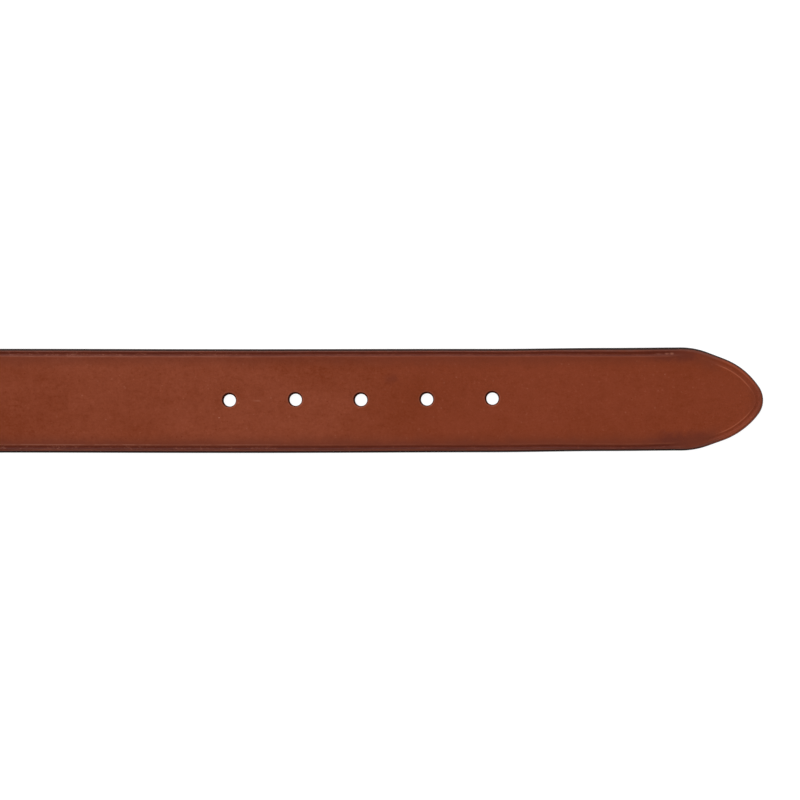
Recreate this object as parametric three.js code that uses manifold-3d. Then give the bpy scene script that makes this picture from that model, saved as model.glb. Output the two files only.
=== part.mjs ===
// A leather dress belt lying straight on the ground, grain side up, its tip toward +X.
// The strap runs flat from its tip, folds round the buckle's bar and comes back as a tail.
import * as THREE from 'three';
import { mergeVertices } from 'three/addons/utils/BufferGeometryUtils.js';
import Module from 'manifold-3d';

const INCH = 25.4;
const GAP = 0.3;

// Belt size: the length from the buckle's bar to the middle hole
const BELT_SIZE = 34 * INCH;
const MIDDLE_HOLE_TO_TIP = 155.3;
const BAR_TO_TIP = BELT_SIZE + MIDDLE_HOLE_TO_TIP;

// How far off the X axis the belt is laid, in radians: about a fifth of a millimetre at the tip
const LAY_ANGLE = 0.0002;

// Leather
const STRAP_THICK = 3;
const FOLD_THICK = 2;
const TAIL_END_THICK = 1;
const TAIL_LENGTH = 48;

// Buckle
const BAR_RADIUS = 2;
const WINDOW_WIDTH = 42;
const ARM_WIDTH = 5;
const FRAME_HEIGHT = 4;
const FRAME_ROUNDING = 1.2;
const BAR_TO_FRONT = 34;
const ARM_BEHIND_BAR = 3.5;
const OUTER_CORNER = 8;
const INNER_CORNER = 4;
const PRONG_WIDTH = 4;
const PRONG_POINT_WIDTH = 2.8;
const PRONG_LOOP_RADIUS = 3.6;
const PRONG_ROUNDING = 0.5;
const PRONG_END_RADIUS = 1.15;
const PRONG_SUNK = 0.2;

// Prong slot, punched through both layers of the fold
const SLOT_WIDTH = 5.2;
const SLOT_FROM_BAR = 6.8;

// Keeper
const KEEPER_FROM_BAR = 25.5;
const KEEPER_LENGTH = 10;
const KEEPER_UNDER_THICK = 1.2;
const KEEPER_WALL = 1.5;
const KEEPER_INSIDE_WIDTH = 41;
const KEEPER_ROOM = 4.5;
const KEEPER_INNER_CORNER = 1.5;
const KEEPER_ROUNDING = 0.3;

// Heights above the ground that the fold and the layers give
const FOLD_RADIUS = BAR_RADIUS + GAP;
const BAR_HEIGHT = FOLD_RADIUS + FOLD_THICK;
const KEEPER_BOTTOM = FOLD_THICK + GAP;
const KEEPER_FLOOR = KEEPER_BOTTOM + KEEPER_UNDER_THICK;
const TOP_LAYER_AT_KEEPER = KEEPER_FLOOR + GAP;
const KEEPER_CEILING = TOP_LAYER_AT_KEEPER + STRAP_THICK + KEEPER_ROOM;

// Flesh side of the top layer: its height and the leather's thickness, out from the bar
const topLayer = [
  { at: 0, lift: BAR_HEIGHT + FOLD_RADIUS, thick: FOLD_THICK },
  { at: 14, lift: 3.2, thick: 2.4 },
  { at: 19.5, lift: TOP_LAYER_AT_KEEPER, thick: STRAP_THICK },
  { at: 31.5, lift: TOP_LAYER_AT_KEEPER, thick: STRAP_THICK },
  { at: 37, lift: 2.9, thick: STRAP_THICK },
  { at: TAIL_LENGTH, lift: 1.5, thick: STRAP_THICK },
  { at: 62, lift: 0, thick: STRAP_THICK },
];

// Flesh side of the tail, whose grain side faces the ground
const tail = [
  { at: 0, lift: FOLD_THICK, thick: FOLD_THICK },
  { at: 5, lift: FOLD_THICK, thick: FOLD_THICK },
  { at: 14, lift: 2.9, thick: FOLD_THICK },
  { at: 20, lift: FOLD_THICK, thick: FOLD_THICK },
  { at: 31, lift: FOLD_THICK, thick: FOLD_THICK },
  { at: 37, lift: 2.5, thick: 1.8 },
  { at: TAIL_LENGTH, lift: 1.2, thick: TAIL_END_THICK },
];

// Outline of the tip from its nose back: arcs and one straight, between two headings in degrees,
// where 90 is straight across the strap and 0 is along it
const tipOutline = [
  { radius: 9, from: 90, to: 55, steps: 4 },
  { radius: 29.1, from: 55, to: 20.3, steps: 5 },
  { straight: 6.5, from: 20.3, to: 20.3, steps: 1 },
  { radius: 30, from: 20.3, to: 0, steps: 4 },
];

// Past the tip: how the strap's half width and centre line vary on their way from it, and how deep
// the crease is. The crease along the sides ends before the shoulders, where the tip's own begins.
const halfWidths = [
  { at: 32, half: 19.86 },
  { at: 200, half: 20 },
];
const sway = [
  { at: 0, aside: 0.16 },
  { at: 9, aside: 0.45 },
  { at: 30, aside: 0.61 },
  { at: 60, aside: 0.42 },
  { at: 106, aside: 0 },
  { at: 200, aside: -0.17 },
  { at: 300, aside: 0 },
];
const creases = [
  { at: 17, depth: 1 },
  { at: 23, depth: 0 },
  { at: 29, depth: 0 },
  { at: 35, depth: 1 },
];

// Section of an edge, from the grain side round to the flesh side: how far in from the edge, how far
// under the grain side the rounding takes it, and how much deeper the crease does
const grainEdge = [
  { inset: 3.2, drop: 0, crease: 0 },
  { inset: 2.7, drop: 0, crease: 0.12 },
  { inset: 2.0, drop: 0, crease: 0.3 },
  { inset: 1.4, drop: 0.01, crease: 0.14 },
  { inset: 1.1, drop: 0.03, crease: 0 },
  { inset: 0.7, drop: 0.12, crease: 0 },
  { inset: 0.3, drop: 0.4, crease: 0 },
  { inset: 0, drop: 1.2, crease: 0 },
];
const fleshEdge = [
  { inset: 0, rise: 0.8 },
  { inset: 0.25, rise: 0.25 },
  { inset: 0.9, rise: 0 },
];

// The five holes, from the tip, with how far each sits off the strap's straight line
const holes = [
  { fromTip: 104.5, aside: 0.72 },
  { fromTip: 129.8, aside: 0.4 },
  { fromTip: MIDDLE_HOLE_TO_TIP, aside: 0.22 },
  { fromTip: 180.6, aside: 0.29 },
  { fromTip: 206.1, aside: 0.04 },
];

// Spacing of the strap's stations: in the layers of the fold, round the bar in radians, where the
// strap is plain, and where it sways
const LAYER_SPACING = 2;
const FOLD_ANGLE = Math.PI / 12;
const PLAIN_SPACING = 73;
const SWAY_SPACING = 14;

// Wall of a punched hole from the flesh side up, with its pressed rim at the grain side
const holeWall = [
  { radius: 2.5, height: -1 },
  { radius: 2.5, height: STRAP_THICK - 0.9 },
  { radius: 2.6, height: STRAP_THICK - 0.45 },
  { radius: 2.8, height: STRAP_THICK - 0.15 },
  { radius: 3.1, height: STRAP_THICK + 0.03 },
  { radius: 3.1, height: STRAP_THICK + 1 },
];
const HOLE_SIDES = 24;

const leather = new THREE.MeshStandardMaterial({ color: 0x7f3d28, roughness: 0.5, metalness: 0 });
const keeperLeather = new THREE.MeshStandardMaterial({ color: 0x773a27, roughness: 0.5, metalness: 0 });
const metal = new THREE.MeshStandardMaterial({ color: 0xb9b5ae, roughness: 0.28, metalness: 1 });

const wasm = await Module();
wasm.setup();

// A value of a table at a place, easing from row to row and level past its ends
function read(rows, place, column) {
  const next = rows.findIndex((row) => row.at >= place);
  if (next === 0) return rows[0][column];
  if (next === -1) return rows[rows.length - 1][column];
  const low = rows[next - 1];
  const high = rows[next];
  const share = THREE.MathUtils.smoothstep(place, low.at, high.at);
  return THREE.MathUtils.lerp(low[column], high[column], share);
}

function solidOf(geometry) {
  const bare = geometry.index ? geometry.toNonIndexed() : geometry.clone();
  bare.deleteAttribute('normal');
  bare.deleteAttribute('uv');
  const merged = mergeVertices(bare, 1e-4);
  const corners = merged.index.array;
  const kept = [];
  for (let i = 0; i < corners.length; i += 3) {
    const [a, b, c] = corners.slice(i, i + 3);
    if (a !== b && b !== c && c !== a) kept.push(a, b, c);
  }
  const mesh = new wasm.Mesh({
    numProp: 3,
    vertProperties: new Float32Array(merged.attributes.position.array),
    triVerts: new Uint32Array(kept),
  });
  return new wasm.Manifold(mesh);
}

function geometryOf(solid) {
  const { vertProperties, triVerts } = solid.getMesh();
  const geometry = new THREE.BufferGeometry();
  geometry.setAttribute('position', new THREE.BufferAttribute(new Float32Array(vertProperties), 3));
  geometry.setIndex(new THREE.BufferAttribute(new Uint32Array(triVerts), 1));
  geometry.computeVertexNormals();
  return geometry;
}

// Places on the outline of the tip, from the nose back to the shoulder
function tipPlaces() {
  let fromTip = 0;
  let half = 0;
  const places = [{ fromTip, half, heading: Math.PI / 2 }];
  for (const { radius, straight, from, to, steps } of tipOutline) {
    const first = THREE.MathUtils.degToRad(from);
    const last = THREE.MathUtils.degToRad(to);
    for (let step = 1; step <= steps; step += 1) {
      const before = THREE.MathUtils.lerp(first, last, (step - 1) / steps);
      const heading = THREE.MathUtils.lerp(first, last, step / steps);
      fromTip += straight ? straight * Math.cos(first) : radius * (Math.sin(before) - Math.sin(heading));
      half += straight ? straight * Math.sin(first) : radius * (Math.cos(heading) - Math.cos(before));
      places.push({ fromTip, half, heading });
    }
  }
  return places;
}

function plainOutline(fromTip) {
  return { fromTip, half: read(halfWidths, fromTip, 'half'), heading: 0 };
}

// A station has a flesh point, the direction from there to the grain side, and the outline there.
// In a layer, facing is 1 where the grain side is up and -1 where it is down.
function layerStation(rows, x, facing, outline) {
  const step = 0.01;
  const slope = (read(rows, x + step, 'lift') - read(rows, x - step, 'lift')) / (2 * step);
  const grain = new THREE.Vector2(-slope, 1).normalize().multiplyScalar(facing);
  return { x, z: read(rows, x, 'lift'), thick: read(rows, x, 'thick'), grain, ...outline };
}

function topStation(outline) {
  return layerStation(topLayer, BAR_TO_TIP - outline.fromTip, 1, outline);
}

function tailStation(x) {
  return layerStation(tail, x, -1, plainOutline(BAR_TO_TIP + x));
}

function foldStation(angle) {
  const grain = new THREE.Vector2(Math.cos(angle), Math.sin(angle));
  const x = grain.x * FOLD_RADIUS;
  const z = BAR_HEIGHT + grain.y * FOLD_RADIUS;
  return { x, z, thick: FOLD_THICK, grain, ...plainOutline(BAR_TO_TIP) };
}

// Evenly spaced places from one to short of the other
function places(from, to, spacing) {
  const count = Math.round(Math.abs(to - from) / spacing);
  return Array.from({ length: count }, (_, i) => THREE.MathUtils.lerp(from, to, i / count));
}

// All the stations, from the tail's end round the fold and out to the nose
function strapStations() {
  const lowAngle = Math.PI * 1.5;
  const highAngle = Math.PI / 2;
  const level = BAR_TO_TIP - topLayer[topLayer.length - 1].at;
  const swayStart = sway[sway.length - 1].at;
  const creaseEnd = creases[creases.length - 1].at;
  const top = [
    ...places(BAR_TO_TIP, level, LAYER_SPACING).slice(1),
    ...places(level, swayStart, PLAIN_SPACING),
    ...places(swayStart, creaseEnd, SWAY_SPACING),
    creaseEnd,
  ];
  return [
    ...places(TAIL_LENGTH, 0, LAYER_SPACING).map(tailStation),
    ...places(lowAngle, highAngle, FOLD_ANGLE).map(foldStation),
    foldStation(highAngle),
    ...top.map(plainOutline).map(topStation),
    ...tipPlaces().reverse().map(topStation),
  ];
}

// The points round one edge at a station; side is 1 toward +Y and -1 toward -Y
function edgePoints(station, side) {
  const { x, z, grain, thick, fromTip, half, heading } = station;
  const aside = read(sway, fromTip, 'aside');
  const crease = read(creases, fromTip, 'depth');
  const place = (inset, height) => {
    const along = x - inset * Math.sin(heading);
    const across = aside + side * Math.max(half - inset * Math.cos(heading), 0);
    return new THREE.Vector3(along + grain.x * height, across, z + grain.y * height);
  };
  const scale = thick / STRAP_THICK;
  return [
    ...grainEdge.map((row) => place(row.inset, thick - scale * (row.drop + crease * row.crease))),
    ...fleshEdge.map((row) => place(row.inset, scale * row.rise)),
  ];
}

// The closed ring of points round the strap at a station, from the middle of the grain side
function ring(station) {
  const left = edgePoints(station, 1);
  const right = edgePoints(station, -1).reverse();
  const middle = (a, b) => a.clone().lerp(b, 0.5);
  const last = left.length - 1;
  return [middle(left[0], right[last]), ...left, middle(left[last], right[0]), ...right];
}

// Four corners in order, against the clock as seen from outside, as two triangles
function quad(target, a, b, c, d) {
  target.push(a, b, c, a, c, d);
}

function strapBody() {
  const rings = strapStations().map(ring);
  const corners = [];
  const count = rings[0].length;
  for (let i = 0; i + 1 < rings.length; i += 1) {
    for (let k = 0; k < count; k += 1) {
      const next = (k + 1) % count;
      quad(corners, rings[i][k], rings[i + 1][k], rings[i + 1][next], rings[i][next]);
    }
  }
  const end = rings[0];
  for (let k = 0; k < count / 2; k += 1) {
    quad(corners, end[(count - k) % count], end[k], end[k + 1], end[count - k - 1]);
  }
  return new THREE.BufferGeometry().setFromPoints(corners);
}

function holeCutter({ fromTip, aside }) {
  const profile = [
    new THREE.Vector2(0, holeWall[0].height),
    ...holeWall.map((row) => new THREE.Vector2(row.radius, row.height)),
    new THREE.Vector2(0, holeWall[holeWall.length - 1].height),
  ];
  const cutter = new THREE.LatheGeometry(profile, HOLE_SIDES);
  cutter.rotateX(Math.PI / 2);
  return cutter.translate(BAR_TO_TIP - fromTip, aside, 0);
}

function slotCutter() {
  const radius = SLOT_WIDTH / 2;
  const clearOfFold = 2 * BAR_HEIGHT;
  const outline = new THREE.Shape();
  outline.moveTo(-clearOfFold, -radius);
  outline.lineTo(SLOT_FROM_BAR - radius, -radius);
  outline.absarc(SLOT_FROM_BAR - radius, 0, radius, -Math.PI / 2, Math.PI / 2, false);
  outline.lineTo(-clearOfFold, radius);
  const depth = 4 * BAR_HEIGHT;
  const cutter = new THREE.ExtrudeGeometry(outline, { depth, bevelEnabled: false, curveSegments: 8 });
  return cutter.translate(0, 0, -BAR_HEIGHT);
}

function strap() {
  let solid = solidOf(strapBody());
  for (const hole of holes) solid = solid.subtract(solidOf(holeCutter(hole)));
  solid = solid.subtract(solidOf(slotCutter()));
  const mesh = new THREE.Mesh(geometryOf(solid), leather);
  mesh.name = 'strap';
  return mesh;
}

// The frame in plan: two arms and the front bar, open toward the strap, where the heel bar closes it
function frameOutline() {
  const inside = WINDOW_WIDTH / 2;
  const outside = inside + ARM_WIDTH;
  const armMiddle = inside + ARM_WIDTH / 2;
  const armEnd = ARM_BEHIND_BAR - ARM_WIDTH / 2;
  const front = -BAR_TO_FRONT - ARM_WIDTH / 2;
  const outer = { x: front + OUTER_CORNER, y: outside - OUTER_CORNER };
  const inner = { x: front + ARM_WIDTH + INNER_CORNER, y: inside - INNER_CORNER };
  const quarter = Math.PI / 2;
  const outline = new THREE.Shape();
  outline.moveTo(armEnd, outside);
  outline.absarc(outer.x, outer.y, OUTER_CORNER, quarter, 2 * quarter, false);
  outline.absarc(outer.x, -outer.y, OUTER_CORNER, 2 * quarter, 3 * quarter, false);
  outline.absarc(armEnd, -armMiddle, ARM_WIDTH / 2, -quarter, quarter, false);
  outline.absarc(inner.x, -inner.y, INNER_CORNER, 3 * quarter, 2 * quarter, true);
  outline.absarc(inner.x, inner.y, INNER_CORNER, 2 * quarter, quarter, true);
  outline.absarc(armEnd, armMiddle, ARM_WIDTH / 2, -quarter, quarter, false);
  return outline;
}

function frame() {
  const geometry = new THREE.ExtrudeGeometry(frameOutline(), {
    depth: FRAME_HEIGHT - 2 * FRAME_ROUNDING,
    bevelThickness: FRAME_ROUNDING,
    bevelSize: FRAME_ROUNDING,
    bevelOffset: -FRAME_ROUNDING,
    bevelSegments: 3,
    curveSegments: 6,
  });
  return geometry.translate(0, 0, FRAME_ROUNDING - FRAME_HEIGHT / 2);
}

function heelBar() {
  return new THREE.CylinderGeometry(BAR_RADIUS, BAR_RADIUS, WINDOW_WIDTH + ARM_WIDTH, 20);
}

// Side view of the prong: its shank from the loop to a round end that rests over the front bar
function prong() {
  const endAt = -BAR_TO_FRONT - ARM_WIDTH / 2;
  const end = new THREE.Vector2(endAt + PRONG_END_RADIUS, FRAME_HEIGHT / 2 - PRONG_SUNK + PRONG_END_RADIUS);
  const nearBar = -2 * BAR_HEIGHT;
  const halfway = endAt / 2;
  const endTop = end.y + PRONG_END_RADIUS;
  const endFoot = end.y - PRONG_END_RADIUS;
  const side = new THREE.Shape();
  side.moveTo(0, PRONG_LOOP_RADIUS);
  side.bezierCurveTo(nearBar, PRONG_LOOP_RADIUS, halfway, endTop, end.x, endTop);
  side.absarc(end.x, end.y, PRONG_END_RADIUS, Math.PI / 2, Math.PI * 1.5, false);
  side.bezierCurveTo(halfway, endFoot - 0.4, nearBar, BAR_RADIUS / 3, 0, -BAR_RADIUS / 2);
  const geometry = new THREE.ExtrudeGeometry(side, {
    depth: PRONG_WIDTH - 2 * PRONG_ROUNDING,
    bevelThickness: PRONG_ROUNDING,
    bevelSize: PRONG_ROUNDING,
    bevelOffset: -PRONG_ROUNDING,
    bevelSegments: 2,
    curveSegments: 8,
  });
  geometry.translate(0, 0, PRONG_ROUNDING - PRONG_WIDTH / 2);
  geometry.rotateX(Math.PI / 2);
  const position = geometry.attributes.position;
  for (let i = 0; i < position.count; i += 1) {
    const share = THREE.MathUtils.clamp(position.getX(i) / endAt, 0, 1);
    position.setY(i, position.getY(i) * THREE.MathUtils.lerp(1, PRONG_POINT_WIDTH / PRONG_WIDTH, share));
  }
  return geometry;
}

function prongLoop() {
  return new THREE.CylinderGeometry(PRONG_LOOP_RADIUS, PRONG_LOOP_RADIUS, PRONG_WIDTH, 24);
}

// The buckle hangs on its bar and tips until the front bar lies on the ground
function buckle() {
  const solid = [heelBar(), prongLoop(), prong()].reduce(
    (whole, piece) => whole.add(solidOf(piece)),
    solidOf(frame()),
  );
  const mesh = new THREE.Mesh(geometryOf(solid), metal);
  mesh.name = 'buckle';
  const reach = BAR_TO_FRONT + ARM_WIDTH / 2 - FRAME_ROUNDING;
  const depth = FRAME_HEIGHT / 2;
  const tip = Math.asin(BAR_HEIGHT / Math.hypot(reach, depth)) - Math.atan2(depth, reach);
  mesh.position.z = BAR_HEIGHT;
  mesh.rotation.y = -tip;
  return mesh;
}

function roundedBox(path, width, low, high, corner) {
  const half = width / 2;
  const quarter = Math.PI / 2;
  path.moveTo(half - corner, low);
  path.absarc(half - corner, low + corner, corner, -quarter, 0, false);
  path.absarc(half - corner, high - corner, corner, 0, quarter, false);
  path.absarc(corner - half, high - corner, corner, quarter, 2 * quarter, false);
  path.absarc(corner - half, low + corner, corner, 2 * quarter, 3 * quarter, false);
  path.closePath();
  return path;
}

// The keeper goes round the top layer, its lower side held between the two layers of the fold
function keeper() {
  const outsideWidth = KEEPER_INSIDE_WIDTH + 2 * KEEPER_WALL;
  const outsideCorner = KEEPER_INNER_CORNER + KEEPER_WALL;
  const ceiling = KEEPER_CEILING;
  const outline = roundedBox(
    new THREE.Shape(),
    outsideWidth,
    KEEPER_BOTTOM,
    ceiling + KEEPER_WALL,
    outsideCorner,
  );
  const room = new THREE.Path();
  outline.holes.push(roundedBox(room, KEEPER_INSIDE_WIDTH, KEEPER_FLOOR, ceiling, KEEPER_INNER_CORNER));
  const geometry = new THREE.ExtrudeGeometry(outline, {
    depth: KEEPER_LENGTH - 2 * KEEPER_ROUNDING,
    bevelThickness: KEEPER_ROUNDING,
    bevelSize: KEEPER_ROUNDING,
    bevelOffset: -KEEPER_ROUNDING,
    bevelSegments: 2,
    curveSegments: 6,
  });
  geometry.translate(0, 0, KEEPER_ROUNDING - KEEPER_LENGTH / 2);
  geometry.rotateX(Math.PI / 2);
  geometry.rotateZ(Math.PI / 2);
  const mesh = new THREE.Mesh(geometry, keeperLeather);
  mesh.name = 'keeper';
  mesh.position.x = KEEPER_FROM_BAR;
  return mesh;
}

const belt = new THREE.Group();
belt.add(strap(), buckle(), keeper());
belt.rotation.z = LAY_ANGLE;

// The origin is on the ground under the middle of the belt
const extent = new THREE.Box3().setFromObject(belt, true);
const middle = extent.getCenter(new THREE.Vector3());
belt.position.set(-middle.x, -middle.y, -extent.min.z);

export default belt;
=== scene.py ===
"""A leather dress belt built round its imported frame: strap, stitches, buckle, prong, keeper, stage.

Blender works in metres. The belt's own sizes and tables are in millimetres and end up in metres
through the MM factor. A place on the strap is (along, across, height): along runs from the buckle's
bar towards the tip on the top layer, is negative round the fold and on the tail, and height starts
at the flesh side.
"""

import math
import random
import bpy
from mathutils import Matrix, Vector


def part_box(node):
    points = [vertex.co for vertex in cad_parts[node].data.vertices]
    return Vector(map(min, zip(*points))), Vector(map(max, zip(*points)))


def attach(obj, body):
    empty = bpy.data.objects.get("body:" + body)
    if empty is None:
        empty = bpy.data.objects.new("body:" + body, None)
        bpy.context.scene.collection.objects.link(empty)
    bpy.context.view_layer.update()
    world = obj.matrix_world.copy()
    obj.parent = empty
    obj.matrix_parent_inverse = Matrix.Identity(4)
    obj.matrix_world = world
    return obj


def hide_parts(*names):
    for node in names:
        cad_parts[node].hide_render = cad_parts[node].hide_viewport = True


bl_info = {
    "name": "Leather Dress Belt",
    "version": (1, 0, 0),
    "blender": (4, 5, 0),
    "location": "View3D > Sidebar > Belt",
    "description": "Builds a creased leather belt with its buckle, keeper and stitches",
    "category": "Add Mesh",
}

from functools import reduce

import bmesh
import bpy
from mathutils import Matrix, Vector, noise

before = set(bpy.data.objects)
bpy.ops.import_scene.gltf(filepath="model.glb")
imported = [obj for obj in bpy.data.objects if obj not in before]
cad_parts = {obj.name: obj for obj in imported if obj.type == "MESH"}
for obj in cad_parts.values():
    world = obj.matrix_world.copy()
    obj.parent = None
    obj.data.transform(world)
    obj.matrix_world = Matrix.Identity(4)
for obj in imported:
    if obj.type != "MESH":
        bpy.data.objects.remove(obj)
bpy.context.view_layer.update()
ROOT = "root"
BAKE_MAP = "OFBake"
MM = 0.001

# Places that the frame gives
STRAP_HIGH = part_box("strap")[1]

# Strap sizes
INCH = 25.4
BAR_TO_TIP = 34 * INCH + 155.3
STRAP_THICK = 3.0
FOLD_THICK = 2.0
TAIL_LENGTH = 48.0
BAR_RADIUS = 2.0
GAP = 0.3
FOLD_RADIUS = BAR_RADIUS + GAP
BAR_HEIGHT = FOLD_RADIUS + FOLD_THICK
FOLD_ARC = math.pi * (FOLD_RADIUS + FOLD_THICK / 2)
LAY_ANGLE = 0.0002
BAR_X = STRAP_HIGH[0] / MM - BAR_TO_TIP

# Flesh side of the top layer and of the tail: height and thickness, out from the bar
TOP_LAYER = (
    {"at": 0, "lift": BAR_HEIGHT + FOLD_RADIUS, "thick": FOLD_THICK},
    {"at": 14, "lift": 3.2, "thick": 2.4},
    {"at": 19.5, "lift": 3.8, "thick": STRAP_THICK},
    {"at": 31.5, "lift": 3.8, "thick": STRAP_THICK},
    {"at": 37, "lift": 2.9, "thick": STRAP_THICK},
    {"at": TAIL_LENGTH, "lift": 1.5, "thick": STRAP_THICK},
    {"at": 62, "lift": 0, "thick": STRAP_THICK},
)
TAIL = (
    {"at": 0, "lift": FOLD_THICK, "thick": FOLD_THICK},
    {"at": 5, "lift": FOLD_THICK, "thick": FOLD_THICK},
    {"at": 14, "lift": 2.9, "thick": FOLD_THICK},
    {"at": 20, "lift": FOLD_THICK, "thick": FOLD_THICK},
    {"at": 31, "lift": FOLD_THICK, "thick": FOLD_THICK},
    {"at": 37, "lift": 2.5, "thick": 1.8},
    {"at": TAIL_LENGTH, "lift": 1.2, "thick": 1.0},
)

# Outline of the tip from its nose back: arcs and one straight, between two headings in degrees
TIP_OUTLINE = (
    {"radius": 9, "start": 90, "end": 55, "steps": 8},
    {"radius": 29.1, "start": 55, "end": 20.3, "steps": 18},
    {"straight": 6.5, "start": 20.3, "end": 20.3, "steps": 6},
    {"radius": 30, "start": 20.3, "end": 0, "steps": 10},
)

# How the strap's half width, its middle line and its crease vary with the way from the tip
HALF_WIDTHS = ({"at": 32, "half": 19.86}, {"at": 200, "half": 20})
SWAY = (
    {"at": 0, "aside": 0.16},
    {"at": 9, "aside": 0.45},
    {"at": 30, "aside": 0.61},
    {"at": 60, "aside": 0.42},
    {"at": 106, "aside": 0},
    {"at": 200, "aside": -0.17},
    {"at": 300, "aside": 0},
)
CREASE_SHIFTS = (
    {"at": 20, "upper": 0.12, "lower": 0.1},
    {"at": 48, "upper": 0.38, "lower": -0.4},
    {"at": 66, "upper": 0.28, "lower": -0.3},
    {"at": 84, "upper": -0.05, "lower": -0.05},
    {"at": 105, "upper": -0.1, "lower": 0.05},
)
CREASES = (
    {"at": 17, "depth": 0.5},
    {"at": 23, "depth": 0.08},
    {"at": 29, "depth": 0.05},
    {"at": 35, "depth": 0.6},
    {"at": 40, "depth": 1},
)

# How far down the rounded edge its dye starts, on both sides of the tip
UNDYED = (
    {"at": 0, "upper": 0.75, "lower": 1.0},
    {"at": 5, "upper": 0.6, "lower": 1.25},
    {"at": 16, "upper": 0.4, "lower": 1.15},
    {"at": 25, "upper": 0.2, "lower": 0.45},
    {"at": 36, "upper": 0, "lower": 0.2},
    {"at": 60, "upper": 0, "lower": 0.12},
)

# Section of an edge: grain side rows inwards out, with the rounding's drop and the crease's depth,
# then the flesh side rows, the first of which are still dyed
GRAIN_EDGE = (
    {"inset": 4.0, "drop": 0, "crease": 0},
    {"inset": 3.15, "drop": 0, "crease": -0.04},
    {"inset": 2.85, "drop": 0, "crease": 0},
    {"inset": 2.6, "drop": 0, "crease": 0.1},
    {"inset": 2.35, "drop": 0, "crease": 0.2},
    {"inset": 2.1, "drop": 0, "crease": 0.26},
    {"inset": 1.85, "drop": 0, "crease": 0.26},
    {"inset": 1.6, "drop": 0, "crease": 0.19},
    {"inset": 1.4, "drop": 0, "crease": 0.08},
    {"inset": 1.2, "drop": 0.01, "crease": -0.02},
    {"inset": 1.0, "drop": 0.03, "crease": -0.01},
    {"inset": 0.75, "drop": 0.1, "crease": 0},
    {"inset": 0.5, "drop": 0.23, "crease": 0},
    {"inset": 0.28, "drop": 0.43, "crease": 0},
    {"inset": 0.12, "drop": 0.7, "crease": 0},
    {"inset": 0.03, "drop": 0.98, "crease": 0},
    {"inset": 0, "drop": 1.3, "crease": 0},
)
FLESH_EDGE = (
    {"inset": 0, "rise": 0.95},
    {"inset": 0.06, "rise": 0.6},
    {"inset": 0.2, "rise": 0.32},
    {"inset": 0.42, "rise": 0.13},
    {"inset": 0.7, "rise": 0.03},
    {"inset": 1.1, "rise": 0},
)
DYED_FLESH_ROWS = 2

# How far the polished edge swells past the cut one, and how far in that fades out
EDGE_SWELL = 0.1
EDGE_SWELL_FADE = 1.3

# How the creasing iron wandered and its pressure varied: by how much, over what length, and where
# the two sides lie in the noise, then the insets between which the section gives way to it
CREASE_WANDER = {"by": 0.1, "length": 23, "apart": 7.3, "seed": 0}
CREASE_PRESS = {"by": 0.16, "length": 9, "apart": 3.1, "seed": 5}
WANDER_OUTSIDE = (0.5, 1.6)
WANDER_INSIDE = (4.0, 3.2)

# The gentle rise and fall of the grain side, and the ways from the bar and from the crease over which
# it comes on
SWELLS = (
    {"along": 34, "across": 16, "seed": 0.4, "share": 1},
    {"along": 9, "across": 7, "seed": 9.2, "share": 0.35},
)
SWELL_FROM_BAR = 20
SWELL_FROM_CREASE = 3

# The five holes, and the section of a punched wall from the grain side to the flesh side
HOLES = (
    {"from_tip": 104.5, "aside": 0.72},
    {"from_tip": 129.8, "aside": 0.4},
    {"from_tip": 155.3, "aside": 0.22},
    {"from_tip": 180.6, "aside": 0.29},
    {"from_tip": 206.1, "aside": 0.04},
)
HOLE_WALL = (
    {"out": 1.15, "drop": 0},
    {"out": 0.84, "drop": -0.03},
    {"out": 0.66, "drop": -0.01},
    {"out": 0.52, "drop": 0.07},
    {"out": 0.4, "drop": 0.2},
    {"out": 0.28, "drop": 0.45},
    {"out": 0.15, "drop": 0.85},
    {"out": 0.06, "drop": 1.25},
    {"out": 0.0, "drop": 1.7},
    {"out": 0.0, "rise": 0.6},
    {"out": 0.06, "rise": 0.22},
    {"out": 0.3, "rise": 0},
)
HOLE_RADIUS = 2.35

# A punched wall is raw leather where it is less than this out from the radius
RAW_WALL = 0.42

# The prong's slot: the radius of its rounded ends, and how far it reaches past the fold on both layers
SLOT_RADIUS = 2.6
SLOT_REACH = 6.8

# How far a hole's rim leans: in full down to the lesser depth, and by this share past the greater
HOLE_LEAN = Vector((-0.19, 0.19))
LEAN_DEPTHS = (1.4, 0.2)
LEAN_BELOW = 0.2

# Rings between the grid and a hole's rim, as shares of the way there; on the flesh side one ring lies
# halfway from the grid to this far out from the radius
RIM_RINGS = (0.35, 0.7)
FLESH_RING = 0.6

# Spacing of the strap's stations: fine from the tip to past the holes, coarse from there on, and
# spacings of their own round the fold and on the bent stretches beside it
FINE = INCH / 20
COARSE = 2 * FINE
FINE_STATIONS = 154
FINE_FROM_TIP = HOLES[0]["from_tip"] + FINE_STATIONS * FINE
FOLD_SPACING = 0.6
BEND_SPACING = 0.8

# Columns across the strap, how many stations and columns are open to each side of a hole's middle,
# and how far past the slot the grid is open
COLUMNS = 26
BLOCK = 4
SLOT_CLEAR = 2.5

# What the marks hold where a point is far from the edge or the holes, or on the flesh side
FAR_FROM_EDGE = 16.0
FAR_FROM_HOLES = 6.0
FLESH_SIDE_EDGE = -2.0
FLESH_SIDE_RIM = 2.0

# The strap's materials, in the order of its slots
GRAIN_SLOT = 0
FLESH_SLOT = 1
RAW_SLOT = 2

# The map that the strap's materials can be baked on, in millimetres of leather, and the radius that
# stays open at the middle of a hole there
MAP_STRIPS = 4
MAP_GRAIN_WIDTH = 50.0
MAP_FLESH_WIDTH = 21.0
MAP_GAP = 1.2
MAP_MARGIN = 3.0
MAP_HOLE_LEFT = 0.25

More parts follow.
